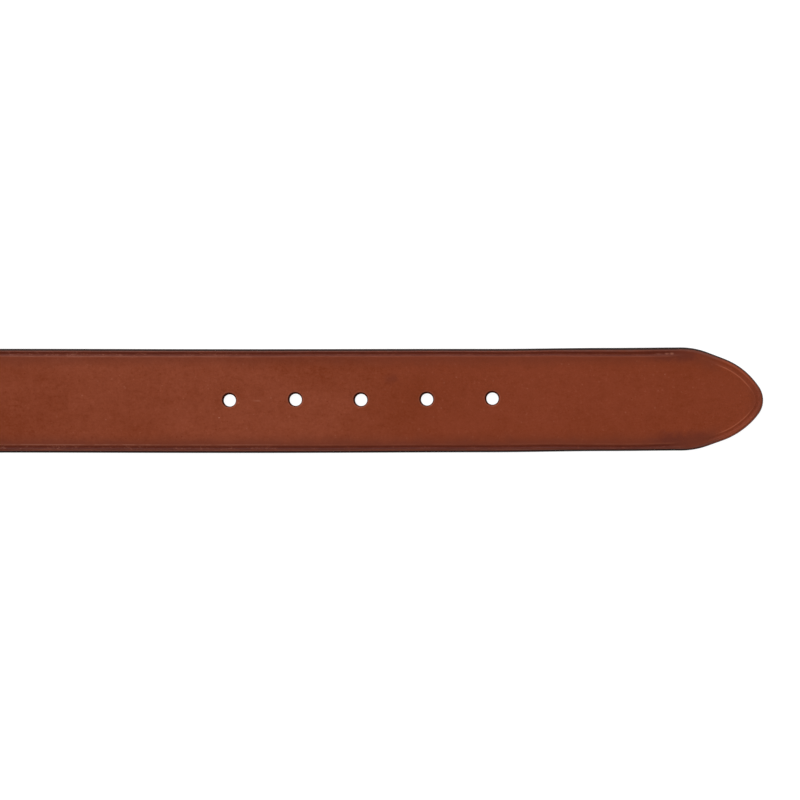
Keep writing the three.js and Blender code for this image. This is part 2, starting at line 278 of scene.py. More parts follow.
# Stitches: their rows' way from the bar, a row's span, what a stitch leaves free at each of its ends,
# and how far its ends lie aside at most
STITCH_ROWS = (14.0, 37.0)
STITCH_SPAN = 34.0
STITCH_GAP = 0.22
STITCH_SLANT = 0.12
STITCH_STEPS = 9
STITCH_SIDES = 10
STITCH_SEED = 11

# How a stitch stands proud, dives in and thins, as shares of its radius, and the powers of the way to
# its ends with which they come on
STITCH_PROUD = {"by": 0.4, "power": 3.2}
STITCH_DIVE = {"by": 1.2, "power": 6}
STITCH_THINNING = {"by": 0.3, "power": 5}

# Slant of the thread's plies, in degrees
PLY_ANGLE = 55

# The pits where the thread dives in: their reach, how far past a row's end they go on, their depth
AWL_REACH = (0.75, 0.3)
AWL_PAST = (0.9, 0.7)
AWL_DEPTH = 0.4

# Keeper: its wall eases from the thin lower side to the full one over a height, and its top arches
KEEPER_FROM_BAR = 25.5
KEEPER_LENGTH = 10.0
KEEPER_WALL = 1.5
KEEPER_UNDER = 1.2
KEEPER_EASE = 0.4
KEEPER_INSIDE_WIDTH = 41.0
KEEPER_BOTTOM = FOLD_THICK + GAP
KEEPER_FLOOR = KEEPER_BOTTOM + KEEPER_UNDER
KEEPER_CEILING = 11.3
KEEPER_ARCH = 0.35
KEEPER_CORNER = 1.5
KEEPER_CORNER_STEPS = 8
KEEPER_SPACING = 1.6

# Section of the keeper's edge: the way in, the rounding's drop and the crease's depth
KEEPER_EDGE = (
    {"inset": 1.9, "drop": 0, "crease": -0.02},
    {"inset": 1.6, "drop": 0, "crease": 0.08},
    {"inset": 1.35, "drop": 0, "crease": 0.13},
    {"inset": 1.1, "drop": 0, "crease": 0.07},
    {"inset": 0.85, "drop": 0.01, "crease": -0.02},
    {"inset": 0.5, "drop": 0.07, "crease": 0},
    {"inset": 0.2, "drop": 0.26, "crease": 0},
    {"inset": 0.02, "drop": 0.6, "crease": 0},
    {"inset": 0.03, "drop": 1.1, "crease": 0},
    {"inset": 0.25, "drop": 1.42, "crease": 0},
    {"inset": 0.6, "drop": 1.5, "crease": 0},
)

# The flat rows between its creases and their mark, and what the marks of the rows above are raised by
KEEPER_FLAT_INSETS = (5.0, 3.4)
KEEPER_FLAT_MARK = 5.0
KEEPER_MARK_SHIFT = 0.3

# Buckle, and how far in from its outer side the front bar touches the ground
WINDOW_WIDTH = 42.0
ARM_WIDTH = 5.0
FRAME_HEIGHT = 4.0
FRAME_ROUNDING = 1.55
CORNER_RADIUS = 5.8
BAR_TO_FRONT = 34.0
ARM_BEHIND_BAR = 3.5
BAR_IN_ARM = 1.6
FRAME_FOOT_INSET = 1.2

# How small and how flat the arms' rounded ends get, as shares
CAP_LEAST = 0.04
CAP_FLATNESS = 0.45

# Steps along and round the buckle
FRAME_SPACING = 3.0
CORNER_STEPS = 14
ROUNDING_STEPS = 5
CAP_STEPS = 5
BAR_SIDES = 36

# Prong: a strip wrapped round the bar from an angle below it, then a shank that tapers to its point
PRONG_WIDTH = 4.0
PRONG_POINT_WIDTH = 2.8
PRONG_LOOP_RADIUS = 3.6
PRONG_PLAY = 0.06
PRONG_LOOP_START = -152
PRONG_LOOP_STEPS = 26
PRONG_SHANK_STEPS = 24

# The shank's end, short of the frame's front and above its top, and how far the shank sags on the way
PRONG_END_SHORT = 0.1
PRONG_END_LIFT = 1.05
PRONG_SAG = 0.5

# The shank's thickness past a share of its length, what is left of it at the end, and its rounding
PRONG_THICK = 2.3
PRONG_THICK_BY = 0.35
PRONG_THINNING = 0.86
PRONG_ROUNDING = 0.36

# The prong's round end: how far it turns in degrees, how far it drops and what share it thins by
PRONG_CAP_STEPS = 10
PRONG_CAP_ANGLE = 88
PRONG_CAP_DROP = 0.22
PRONG_CAP_THINNING = 0.62

# Angles in degrees past which two faces meet in a sharp edge
LEATHER_SHARP = 50
FRAME_SHARP = 40
ROUND_SHARP = 60

# The photograph's framing: belt holes an inch apart lie this many pixels apart
PHOTO_PIXELS = 800
PIXEL = INCH / 65.74
TIP_PIXEL = 763.17
MIDDLE_LINE_PIXEL = 400.6
LENS = 200.0
SENSOR = 36.0

# The softbox: the way to it, its colour, and in degrees each part's width and how far round it stands
KEY_DIRECTION = Vector((-0.62, 0.72, 0.86))
KEY_COLOUR = (1.0, 0.99, 0.975)
KEY_ANGLE = 56
KEY_TURNS = (-48, 0, 48)

# Brightness of the room by the height of the direction, 0 at the horizon and 1 overhead
STUDIO = (
    {"height": 0.0, "bright": 1.32},
    {"height": 0.03, "bright": 1.32},
    {"height": 0.17, "bright": 0.62},
    {"height": 0.32, "bright": 0.42},
    {"height": 0.5, "bright": 0.46},
    {"height": 0.8, "bright": 0.45},
    {"height": 0.93, "bright": 0.13},
    {"height": 1.0, "bright": 0.1},
)

# Across the strap, the side toward -Y, which shows more wear and gets its own share of painted highlights
# and crease shade, comes on between these places
LOW_SIDE = (-8, -15)

# Where the edge's dye, its crease darkening and its painted highlight lines lie, in from the outline, and
# the reach of a line to both sides
DYE_EDGE = (0.88, 0.46)
BEVEL_AT = 0.95
GROOVE_OUTSIDE = (0.85, 1.25)
GROOVE_INSIDE = (2.95, 2.55)
LIP_AT = 3.02
LINE_REACH = 0.36

# From the tip: where the leather's painted shade and the painted highlights on the crease's sides change,
# where the crease and its faint rest before the shoulders set in, and where the fine painted highlight
# line at the tip ends and starts
BODY_SHADE_CHANGE = (168, 126)
LIP_HIGHLIGHT_CHANGE = (240, 150)
CREASE_FROM = (32, 38)
FAINT_BEFORE = (20, 14)
TIP_LINE_BEFORE = (20, 13)
TIP_LINE_FROM = (0.5, 4.5)

# How strongly smooth leather mirrors
LEATHER_SPECULAR = 0.12

# Rubbed patches, most of them at the tip's shoulders, and pale scuffs, the three by the tip being painted
# glints where the crease ends: their places from the tip and the middle line, half their lengths and
# widths, and their strength, then how deep all of them reach
SHOULDER_PATCHES = (
    {"at": (36, 17.9), "size": (16, 3.4), "share": 0.5},
    {"at": (35, -16.6), "size": (13, 6.2), "share": 0.85},
    {"at": (26, -14.8), "size": (9, 5.0), "share": 0.5},
    {"at": (30.5, 17.8), "size": (9, 3.6), "share": 0.5},
    {"at": (33, -18.2), "size": (10, 2.8), "share": 0.35},
    {"at": (143.4, 8.7), "size": (4.0, 2.8), "share": 0.28},
)
SCUFFS_AND_GLINTS = (
    {"at": (37.3, 18.3), "size": (1.3, 0.5), "share": 0.36},
    {"at": (35.2, 18.35), "size": (1.0, 0.6), "share": 0.42},
    {"at": (40.5, 18.2), "size": (2.6, 0.3), "share": 0.2},
    {"at": (210.2, -6.4), "size": (0.5, 0.35), "share": 0.8},
    {"at": (195.5, 0.1), "size": (2.2, 0.6), "share": 0.24},
    {"at": (190.2, 1.2), "size": (0.5, 0.3), "share": 0.5},
)
PATCH_DEPTH = 4.0


def linear(red, green, blue):
    """A colour as the photograph shows it, 0 to 255, in Blender's linear values."""

    def channel(value):
        share = value / 255
        return share / 12.92 if share <= 0.04045 else ((share + 0.055) / 1.055) ** 2.4

    return (channel(red), channel(green), channel(blue), 1.0)


def colour(name, description, red, green, blue):
    """A colour setting, with its default as the photograph shows it."""
    return bpy.props.FloatVectorProperty(
        name=name, description=description, subtype="COLOR", size=4, min=0, max=1,
        default=linear(red, green, blue),
    )


class BeltSizes(bpy.types.PropertyGroup):
    """Sizes that can change without moving the frame."""

    thread: bpy.props.FloatProperty(
        name="Thread", description="Thickness of the sewing thread", default=0.0009, min=0.0004,
        max=0.0015, unit="LENGTH",
    )
    stitches: bpy.props.IntProperty(
        name="Stitches", description="Stitches in each row across the strap", default=9, min=4, max=14,
    )
    swell: bpy.props.FloatProperty(
        name="Swell", description="How far the leather's surface rises and falls", default=0.00006,
        min=0, max=0.0004, unit="LENGTH",
    )
    grain: bpy.props.FloatProperty(
        name="Grain", description="Depth of the leather's fine grain", default=0.00005, min=0,
        max=0.0002, unit="LENGTH",
    )


class BeltColours(bpy.types.PropertyGroup):
    """Colours of the belt's materials."""

    body: colour("Leather", "The grain side far from the tip", 133, 65, 43)
    # Painted shade: darker than the leather above, standing in for light falling off toward the tip
    body_tip_shaded: colour("Leather by the tip", "The grain side from the holes to the tip", 126, 57, 35)
    mottle: colour("Mottling", "Darker clouds in the leather", 113, 47, 21)
    # Also paints the highlight on the holes' raised rims and the glints where the crease ends by the tip
    fleck_and_highlight: colour("Flecks", "Pale flecks and scuffs in the leather", 172, 112, 92)
    burnish: colour("Burnish", "Rubbed leather along the edges", 101, 47, 32)
    shoulder: colour("Shoulder burnish", "Rubbed patches at the shoulders of the tip", 78, 32, 27)
    # The crease's darkening: partly the creasing iron's burnish, partly painted shade
    groove_burnish_and_shade: colour("Crease", "The bottom of the creased line", 77, 24, 11)
    # Painted highlights on the crease's raised sides, the second darker from the holes to the tip
    lip_highlight: colour("Lip", "The raised sides of the creased line", 133, 79, 63)
    lip_highlight_tip: colour("Lip by the tip", "The same from the holes to the tip", 119, 60, 43)
    # Painted highlight: the fine line that follows the tip, and the edge's rounding there
    tip_line_highlight: colour("Tip line", "The fine line that follows the tip", 147, 77, 53)
    # Painted highlight on the edge's rounding, just inside its dye
    bevel: colour("Bevel", "The rubbed line where the edge's dye ends", 103, 64, 55)
    edge: colour("Edge", "The dyed and polished edge", 34, 16, 12)
    wall: colour("Punched wall", "Raw leather inside the holes", 74, 28, 17)
    flesh: colour("Flesh side", "The suede underside", 150, 102, 72)
    thread: colour("Thread", "The waxed sewing thread", 170, 116, 80)
    metal: colour("Metal", "The satin nickel of the buckle", 186, 182, 175)
    metal_cloud: colour("Metal clouds", "The same where it has been handled", 158, 153, 144)


class BeltStage(bpy.types.PropertyGroup):
    """The floor and the lights."""

    floor: bpy.props.FloatProperty(
        name="Floor", description="Half the side of the floor", default=8.0, min=2, max=30,
        unit="LENGTH",
    )
    glow: bpy.props.FloatProperty(
        name="Floor glow", description="Light that the table under the belt gives", default=0.94,
        min=0, max=2,
    )
    key: bpy.props.FloatProperty(
        name="Key light", description="Strength of the softbox to the upper left", default=3.45, min=0,
        max=10,
    )
    fill: bpy.props.FloatProperty(
        name="Fill light", description="Strength of the light from all round", default=0.8, min=0,
        max=5,
    )


# Tables and small sums

def smooth(low, high, value):
    """Eases from 0 at one value to 1 at another, which may be the lower, and is level past them."""
    share = min(max((value - low) / (high - low), 0.0), 1.0)
    return share * share * (3 - 2 * share)


def blend(first, second, share):
    return first + (second - first) * share


def read(rows, place, column):
    """A value of a table at a place, easing from row to row and level past its ends."""
    if place <= rows[0]["at"]:
        return rows[0][column]
    for low, high in zip(rows, rows[1:]):
        if place <= high["at"]:
            return blend(low[column], high[column], smooth(low["at"], high["at"], place))
    return rows[-1][column]


def spread(start, end, spacing):
    """Evenly spaced places from one to short of the other."""
    count = max(round(abs(end - start) / spacing), 1)
    return [blend(start, end, index / count) for index in range(count)]


# The strap's flat places and how they bend

def layer(rows, x, facing):
    """What bend_at gives, on a layer whose grain side faces up, 1, or down, -1."""
    step = 0.01
    slope = (read(rows, x + step, "lift") - read(rows, x - step, "lift")) / (2 * step)
    grain = Vector((-slope, 0, 1)).normalized() * facing
    return Vector((x, 0, read(rows, x, "lift"))), grain, read(rows, x, "thick")


def bend_at(along):
    """The flesh point, the direction to the grain side and the thickness at a way along the strap."""
    if along >= 0:
        return layer(TOP_LAYER, along, 1)
    if along <= -FOLD_ARC:
        return layer(TAIL, -FOLD_ARC - along, -1)
    angle = math.pi / 2 - along / FOLD_ARC * math.pi
    grain = Vector((math.cos(angle), 0, math.sin(angle)))
    return Vector((0, 0, BAR_HEIGHT)) + grain * FOLD_RADIUS, grain, FOLD_THICK


def thickness(along):
    return bend_at(along)[2]


def belt_place(x, y, z):
    """A place measured from the middle of the buckle's bar on the ground, in metres in the frame."""
    return Vector((BAR_X + x, y + LAY_ANGLE * x, z)) * MM


def bend(along, across, height):
    """The place in the frame, in metres, of a flat place on the strap."""
    flesh, grain, _ = bend_at(along)
    point = flesh + grain * height
    return belt_place(point.x, across, point.z)


class Shell:
    """The points and faces of one mesh, with marks that its material reads at each point."""

    def __init__(self, marks):
        self.points = []
        self.marks = {name: [] for name in marks}
        self.places = []
        self.faces = []
        self.slots = []

    def point(self, place, flat=None, **marks):
        """Adds a point; flat holds its places on the maps of the grain and of the flesh side."""
        self.points.append(place)
        self.places.append(flat)
        for name, values in self.marks.items():
            values.append(marks.get(name, 0.0))
        return len(self.points) - 1

    def face(self, corners, slot=0):
        kept = [corner for index, corner in enumerate(corners) if corner != corners[index - 1]]
        if len(set(kept)) > 2:
            self.faces.append(kept)
            self.slots.append(slot)

    def strip(self, first, second, slot=0, closed=False):
        """Quads between two rows of as many points."""
        count = len(first)
        for index in range(count if closed else count - 1):
            after = (index + 1) % count
            self.face((first[index], first[after], second[after], second[index]), slot)

    def build(self, name, materials, sharp=LEATHER_SHARP, unfold=None):
        """Makes the piece; unfold gives a face's places on the map from its flat ones."""
        used = sorted({corner for face in self.faces for corner in face})
        place_of = {old: new for new, old in enumerate(used)}
        mesh = bpy.data.meshes.new(name)
        faces = [[place_of[corner] for corner in face] for face in self.faces]
        mesh.from_pydata([self.points[old] for old in used], [], faces)
        for material in materials:
            mesh.materials.append(material)
        mesh.polygons.foreach_set("material_index", self.slots)
        for mark, values in self.marks.items():
            attribute = mesh.attributes.new(mark, "FLOAT", "POINT")
            attribute.data.foreach_set("value", [values[old] for old in used])
        if unfold is not None:
            baked = mesh.uv_layers.new(name=BAKE_MAP)
            flat = [
                number
                for face, slot in zip(self.faces, self.slots)
                for place in unfold([self.places[corner][slot == FLESH_SLOT] for corner in face], slot)
                for number in place
            ]
            baked.uv.foreach_set("vector", flat)
        finish_mesh(mesh, sharp)
        piece = bpy.data.objects.new(name, mesh)
        bpy.context.scene.collection.objects.link(piece)
        return piece


def finish_mesh(mesh, sharp):
    """Turns the faces outwards and shades them smooth up to an angle in degrees."""
    body = bmesh.new()
    body.from_mesh(mesh)
    bmesh.ops.recalc_face_normals(body, faces=body.faces)
    body.to_mesh(mesh)
    body.free()
    mesh.polygons.foreach_set("use_smooth", [True] * len(mesh.polygons))
    mesh.set_sharp_from_angle(angle=math.radians(sharp))


# Strap

def tip_places():
    """Places on the tip's outline from the nose back: way from the tip, half width and heading."""
    from_tip = half = 0.0
    places = [{"from_tip": 0.0, "half": 0.0, "heading": math.pi / 2}]
    for row in TIP_OUTLINE:
        start, end, steps = math.radians(row["start"]), math.radians(row["end"]), row["steps"]
        for step in range(1, steps + 1):
            before = blend(start, end, (step - 1) / steps)
            heading = blend(start, end, step / steps)
            if "straight" in row:
                from_tip += row["straight"] / steps * math.cos(start)
                half += row["straight"] / steps * math.sin(start)
            else:
                from_tip += row["radius"] * (math.sin(before) - math.sin(heading))
                half += row["radius"] * (math.cos(heading) - math.cos(before))
            places.append({"from_tip": from_tip, "half": half, "heading": heading})
    return places


def plain_place(along):
    from_tip = BAR_TO_TIP - along
    return {"from_tip": from_tip, "half": read(HALF_WIDTHS, from_tip, "half"), "heading": 0.0}


def strap_stations():
    """Every station from the tail's end to the nose, as way along and outline."""
    shoulder = tip_places()[-1]["from_tip"]
    level = TOP_LAYER[-1]["at"]
    first_hole = HOLES[0]["from_tip"]
    ways = spread(-FOLD_ARC - TAIL_LENGTH, -FOLD_ARC, BEND_SPACING)
    ways += spread(-FOLD_ARC, 0, FOLD_SPACING)
    ways += spread(0, level, BEND_SPACING)
    ways += spread(level, BAR_TO_TIP - FINE_FROM_TIP, COARSE)
    ways += spread(BAR_TO_TIP - FINE_FROM_TIP, BAR_TO_TIP - first_hole, FINE)
    ways += spread(BAR_TO_TIP - first_hole, BAR_TO_TIP - shoulder, FINE)
    stations = [(way, plain_place(way)) for way in ways]
    stations += [(BAR_TO_TIP - place["from_tip"], place) for place in reversed(tip_places())]
    return stations


def uneven(row, from_tip, side):
    """A slow variation along the crease on one side."""
    place = Vector((from_tip / row["length"], side * row["apart"], row["seed"]))
    return row["by"] * noise.noise(place)


def swell_at(along, across, amount):
    """The gentle rise and fall of the grain side, in millimetres, level on the tail and the fold."""
    rise = 0.0
    for row in SWELLS:
        place = Vector((along / row["along"], across / row["across"], row["seed"]))
        rise += row["share"] * noise.noise(place)
    return amount * rise * smooth(0, SWELL_FROM_BAR, along)


def hole_distance(along, across):
    """The way to the wall of the nearest hole or of the prong slot, up to a few millimetres."""
    far = FAR_FROM_HOLES
    for hole in HOLES:
        centre = Vector((BAR_TO_TIP - hole["from_tip"], hole["aside"]))
        far = min(far, (Vector((along, across)) - centre).length - HOLE_RADIUS)
    spine = min(max(along, SLOT_RADIUS - SLOT_REACH - FOLD_ARC), SLOT_REACH - SLOT_RADIUS)
    far = min(far, math.hypot(along - spine, across) - SLOT_RADIUS)
    return max(far, 0.0)


def profile_lengths(rows):
    """The way along a section from its first row to each row, for rows as (inset, height)."""
    ways = [0.0]
    for before, after in zip(rows, rows[1:]):
        ways.append(ways[-1] + math.dist(before, after))
    return ways


class StrapBuilder:
    """Lays the strap's points out station by station and joins them.

    grain, flesh and flat hold a row for each station: its points across the strap on either side, and
    their flat places. edges holds its points round the two edges. The marks are from_edge, the way in
    from the outline less the drop of the rounding; undyed, how far down that drop the dye starts;
    from_tip; and rim, the way out from the wall of a hole less the depth inside it.
    """

    def __init__(self, swell):
        self.shell = Shell(("from_edge", "undyed", "from_tip", "rim"))
        self.swell = swell / MM
        self.stations = strap_stations()
        self.flat = []
        self.grain = []
        self.flesh = []
        self.edges = []

    def edge_rows(self, way, place, side):
        """Flat places and marks round one edge; side is 1 toward +Y and -1 toward -Y."""
        from_tip, half, heading = place["from_tip"], place["half"], place["heading"]
        middle = read(SWAY, from_tip, "aside")
        press_share = read(CREASES, from_tip, "depth")
        column = "upper" if side > 0 else "lower"
        aside = uneven(CREASE_WANDER, from_tip, side) + read(CREASE_SHIFTS, from_tip, column)
        press = 1 + uneven(CREASE_PRESS, from_tip, side)
        thick = thickness(way)
        scale = thick / STRAP_THICK

        def outline(inset):
            inset -= EDGE_SWELL * smooth(EDGE_SWELL_FADE, 0, inset)
            return way - inset * math.sin(heading), middle + side * max(half - inset * math.cos(heading), 0)

        rows = []
        for row in GRAIN_EDGE:
            yielding = smooth(*WANDER_OUTSIDE, row["inset"]) * smooth(*WANDER_INSIDE, row["inset"])
            crease = row["crease"] * press_share * press
            rows.append({
                "inset": row["inset"] + aside * yielding,
                "height": thick - scale * (row["drop"] + crease),
                "from_edge": row["inset"] - row["drop"],
            })
        for row in FLESH_EDGE:
            rows.append({
                "inset": row["inset"],
                "height": scale * row["rise"],
                "from_edge": FLESH_SIDE_EDGE,
            })
        ways = profile_lengths([(row["inset"], row["height"]) for row in rows])
        for row, length in zip(rows, ways):
            row["along"], row["across"] = outline(row["inset"])
            left = rows[0]["inset"] - length
            unrolled = (
                way - left * math.sin(heading),
                middle + side * (half - left * math.cos(heading)),
            )
            row["flat"] = (self.end_place(way, unrolled, thick - row["height"]), outline(row["inset"]))
            row["from_tip"] = from_tip
            row["undyed"] = read(UNDYED, from_tip, column)
        return rows

    def end_place(self, way, place, depth):
        """Folds the tail's end out on the map of the grain side."""
        return (place[0] - depth, place[1]) if way == self.stations[0][0] else place

    def add(self, row):
        return self.shell.point(
            bend(row["along"], row["across"], row["height"]), row["flat"], from_edge=row["from_edge"],
            undyed=row["undyed"], from_tip=row["from_tip"], rim=FAR_FROM_HOLES,
        )

    def add_across(self, way, left, right, height_of, from_tip):
        """The points between the two edges, the edges' own points left out."""
        row = []
        width = left["across"] - right["across"]
        for column in range(1, COLUMNS):
            share = column / COLUMNS
            along = blend(left["along"], right["along"], share)
            across = blend(left["across"], right["across"], share)
            inset = GRAIN_EDGE[0]["inset"] + (0.5 - abs(share - 0.5)) * width
            height = height_of(along, across, inset)
            depth = thickness(way) - height
            flat = (self.end_place(way, (along, across), depth), (along, across))
            point = self.shell.point(
                bend(along, across, height), flat, from_edge=inset, from_tip=from_tip,
                rim=hole_distance(along, across),
            )
            row.append((point, (along, across)))
        return row

    def add_station(self, way, place):
        left = self.edge_rows(way, place, 1)
        right = self.edge_rows(way, place, -1)
        left_points = [self.add(row) for row in left]
        right_points = [self.add(row) for row in right] if place["half"] else left_points
        thick = thickness(way)
        start = GRAIN_EDGE[0]["inset"]
        if place["half"]:
            grain = self.add_across(
                way, left[0], right[0],
                lambda x, y, inset: (
                    thick + smooth(start, start + SWELL_FROM_CREASE, inset) * swell_at(x, y, self.swell)
                ),
                place["from_tip"],
            )
            flesh = self.add_across(way, left[-1], right[-1], lambda *_: 0.0, place["from_tip"])
        else:
            first = (left_points[0], (left[0]["along"], left[0]["across"]))
            grain = [first] * (COLUMNS - 1)
            flesh = [(left_points[-1], first[1])] * (COLUMNS - 1)
        ends = [(row[0]["along"], row[0]["across"]) for row in (left, right)]
        self.grain.append([left_points[0], *(point for point, _ in grain), right_points[0]])
        self.flesh.append([left_points[-1], *(point for point, _ in flesh), right_points[-1]])
        self.flat.append([ends[0], *(spot for _, spot in grain), ends[1]])
        self.edges.append((left_points, right_points))

    def station_near(self, along):
        return min(range(len(self.stations)), key=lambda index: abs(self.stations[index][0] - along))

    def blocks(self):
        """Where the grid is left open: rows of stations, columns, and the spine of what is cut out."""
        found = []
        for hole in HOLES:
            along = BAR_TO_TIP - hole["from_tip"]
            centre = self.station_near(along)
            place = Vector((along, hole["aside"]))
            found.append((centre - BLOCK, centre + BLOCK, (place, place), HOLE_RADIUS))
        clear = SLOT_REACH + SLOT_CLEAR
        ends = SLOT_REACH - SLOT_RADIUS
        spine = (Vector((-FOLD_ARC - ends, 0)), Vector((ends, 0)))
        rows = (self.station_near(-FOLD_ARC - clear), self.station_near(clear))
        found.append((*rows, spine, SLOT_RADIUS))
        middle = COLUMNS // 2
        return [(low, high, middle - BLOCK, middle + BLOCK, *rest) for low, high, *rest in found]

    def pierce(self, low, high, left, right, spine, radius):
        """Joins the grid's open block to the rounded wall of a hole or of the slot."""
        loop = [(low, column) for column in range(left, right)]
        loop += [(row, right) for row in range(low, high)]
        loop += [(high, column) for column in range(right, left, -1)]
        loop += [(row, left) for row in range(high, low, -1)]
        rays = []
        for row, column in loop:
            start = Vector(self.flat[row][column])
            nearest = Vector((min(max(start.x, spine[0].x), spine[1].x), spine[0].y))
            rays.append((start, nearest, (start - nearest).normalized()))
        rows = [[self.grain[row][column] for row, column in loop]]
        rows += [self.rim_ring(rays, radius, share) for share in RIM_RINGS]
        first_raw = len(rows) + next(
            index for index, step in enumerate(HOLE_WALL) if step["out"] < RAW_WALL
        )
        rows += self.wall_rings(rays, radius)
        first_flesh = len(rows) - 1
        ring = []
        for start, nearest, way in rays:
            place = start.lerp(nearest + way * (radius + FLESH_RING), 0.5)
            ring.append(self.pierced_point(place, place, 0, FLESH_SIDE_RIM))
        rows.append(ring)
        rows.append([self.flesh[row][column] for row, column in loop])
        for index, (first, second) in enumerate(zip(rows, rows[1:])):
            slot = FLESH_SLOT if index >= first_flesh else RAW_SLOT if index >= first_raw else GRAIN_SLOT
            self.shell.strip(first, second, slot=slot, closed=True)

    def rim_ring(self, rays, radius, share):
        """A ring of points on the grain side, part of the way from the grid to the rim."""
        ring = []
        for start, nearest, way in rays:
            place = start.lerp(nearest + way * (radius + HOLE_WALL[0]["out"]), share)
            height = thickness(place.x) + swell_at(place.x, place.y, self.swell) * (1 - share)
            ring.append(self.pierced_point(place, place, height, (place - nearest).length - radius))
        return ring

    def wall_rings(self, rays, radius):
        """The rings of a wall from the grain side down, laid out inwards on the map."""
        heights = [STRAP_THICK - row["drop"] if "drop" in row else row["rise"] for row in HOLE_WALL]
        ways = profile_lengths([(row["out"], height) for row, height in zip(HOLE_WALL, heights)])
        widest = radius + HOLE_WALL[0]["out"]
        inward = (widest - MAP_HOLE_LEFT) / ways[-1]
        rings = []
        for row, height, length in zip(HOLE_WALL, heights, ways):
            deep = STRAP_THICK - height
            lean = blend(LEAN_BELOW, 1, smooth(*LEAN_DEPTHS, deep)) if radius == HOLE_RADIUS else 0
            ring = []
            for _, nearest, way in rays:
                place = nearest + way * (radius + row["out"]) + HOLE_LEAN * lean
                mapped = nearest + way * (widest - length * inward)
                scaled = height * thickness(place.x) / STRAP_THICK
                ring.append(self.pierced_point(place, mapped, scaled, row["out"] - deep))
            rings.append(ring)
        return rings

    def pierced_point(self, place, mapped, height, rim):
        return self.shell.point(
            bend(place.x, place.y, height), (tuple(mapped), tuple(place)), from_edge=FAR_FROM_EDGE,
            rim=rim, from_tip=BAR_TO_TIP - place.x,
        )

    def join_stations(self):
        """Faces along the strap between each two stations, but for the open blocks."""
        blocks = self.blocks()
        opened = {
            (row, column)
            for low, high, left, right, *_ in blocks
            for row in range(low, high)
            for column in range(left, right)
        }
        dyed = len(GRAIN_EDGE) + DYED_FLESH_ROWS
        for row in range(len(self.stations) - 1):
            for here, after in zip(self.edges[row], self.edges[row + 1]):
                self.shell.strip(here[:dyed + 1], after[:dyed + 1])
                self.shell.strip(here[dyed:], after[dyed:], slot=FLESH_SLOT)
            for column in range(COLUMNS):
                if (row, column) in opened:
                    continue
                for slot, grid in enumerate((self.grain, self.flesh)):
                    self.shell.face((
                        grid[row][column], grid[row][column + 1],
                        grid[row + 1][column + 1], grid[row + 1][column],
                    ), slot)
        for block in blocks:
            self.pierce(*block)

    def close_tail(self):
        self.shell.strip(self.grain[0], self.flesh[0])
        for edge in self.edges[0]:
            self.shell.face(edge)

    def build(self, materials):
        for way, place in self.stations:
            self.add_station(way, place)
        self.join_stations()
        self.close_tail()
        return self.shell.build("strap_leather", materials, unfold=unfold_strap)


def unfold_strap(places, slot):
    """Places on the strap's map: four lengths side by side, each its grain side, then its flesh side."""
    start = -FOLD_ARC - TAIL_LENGTH - MAP_MARGIN
    length = (BAR_TO_TIP + MAP_MARGIN - start) / MAP_STRIPS
    middle = sum(along for along, _ in places) / len(places)
    strip = min(int((middle - start) / length), MAP_STRIPS - 1)
    pitch = MAP_GRAIN_WIDTH + MAP_FLESH_WIDTH + 2 * MAP_GAP
    flesh = slot == FLESH_SLOT
    across = MAP_GAP + (MAP_GRAIN_WIDTH + MAP_GAP + MAP_FLESH_WIDTH / 2 if flesh else MAP_GRAIN_WIDTH / 2)
    squeeze = MAP_FLESH_WIDTH / MAP_GRAIN_WIDTH if flesh else 1
    side = max(pitch * MAP_STRIPS, length + 2 * MAP_MARGIN)
    return [
        (
            (strip * pitch + across + ring * squeeze) / side,
            (along - start - strip * length + MAP_MARGIN) / side,
        )
        for along, ring in places
    ]


# Node helpers

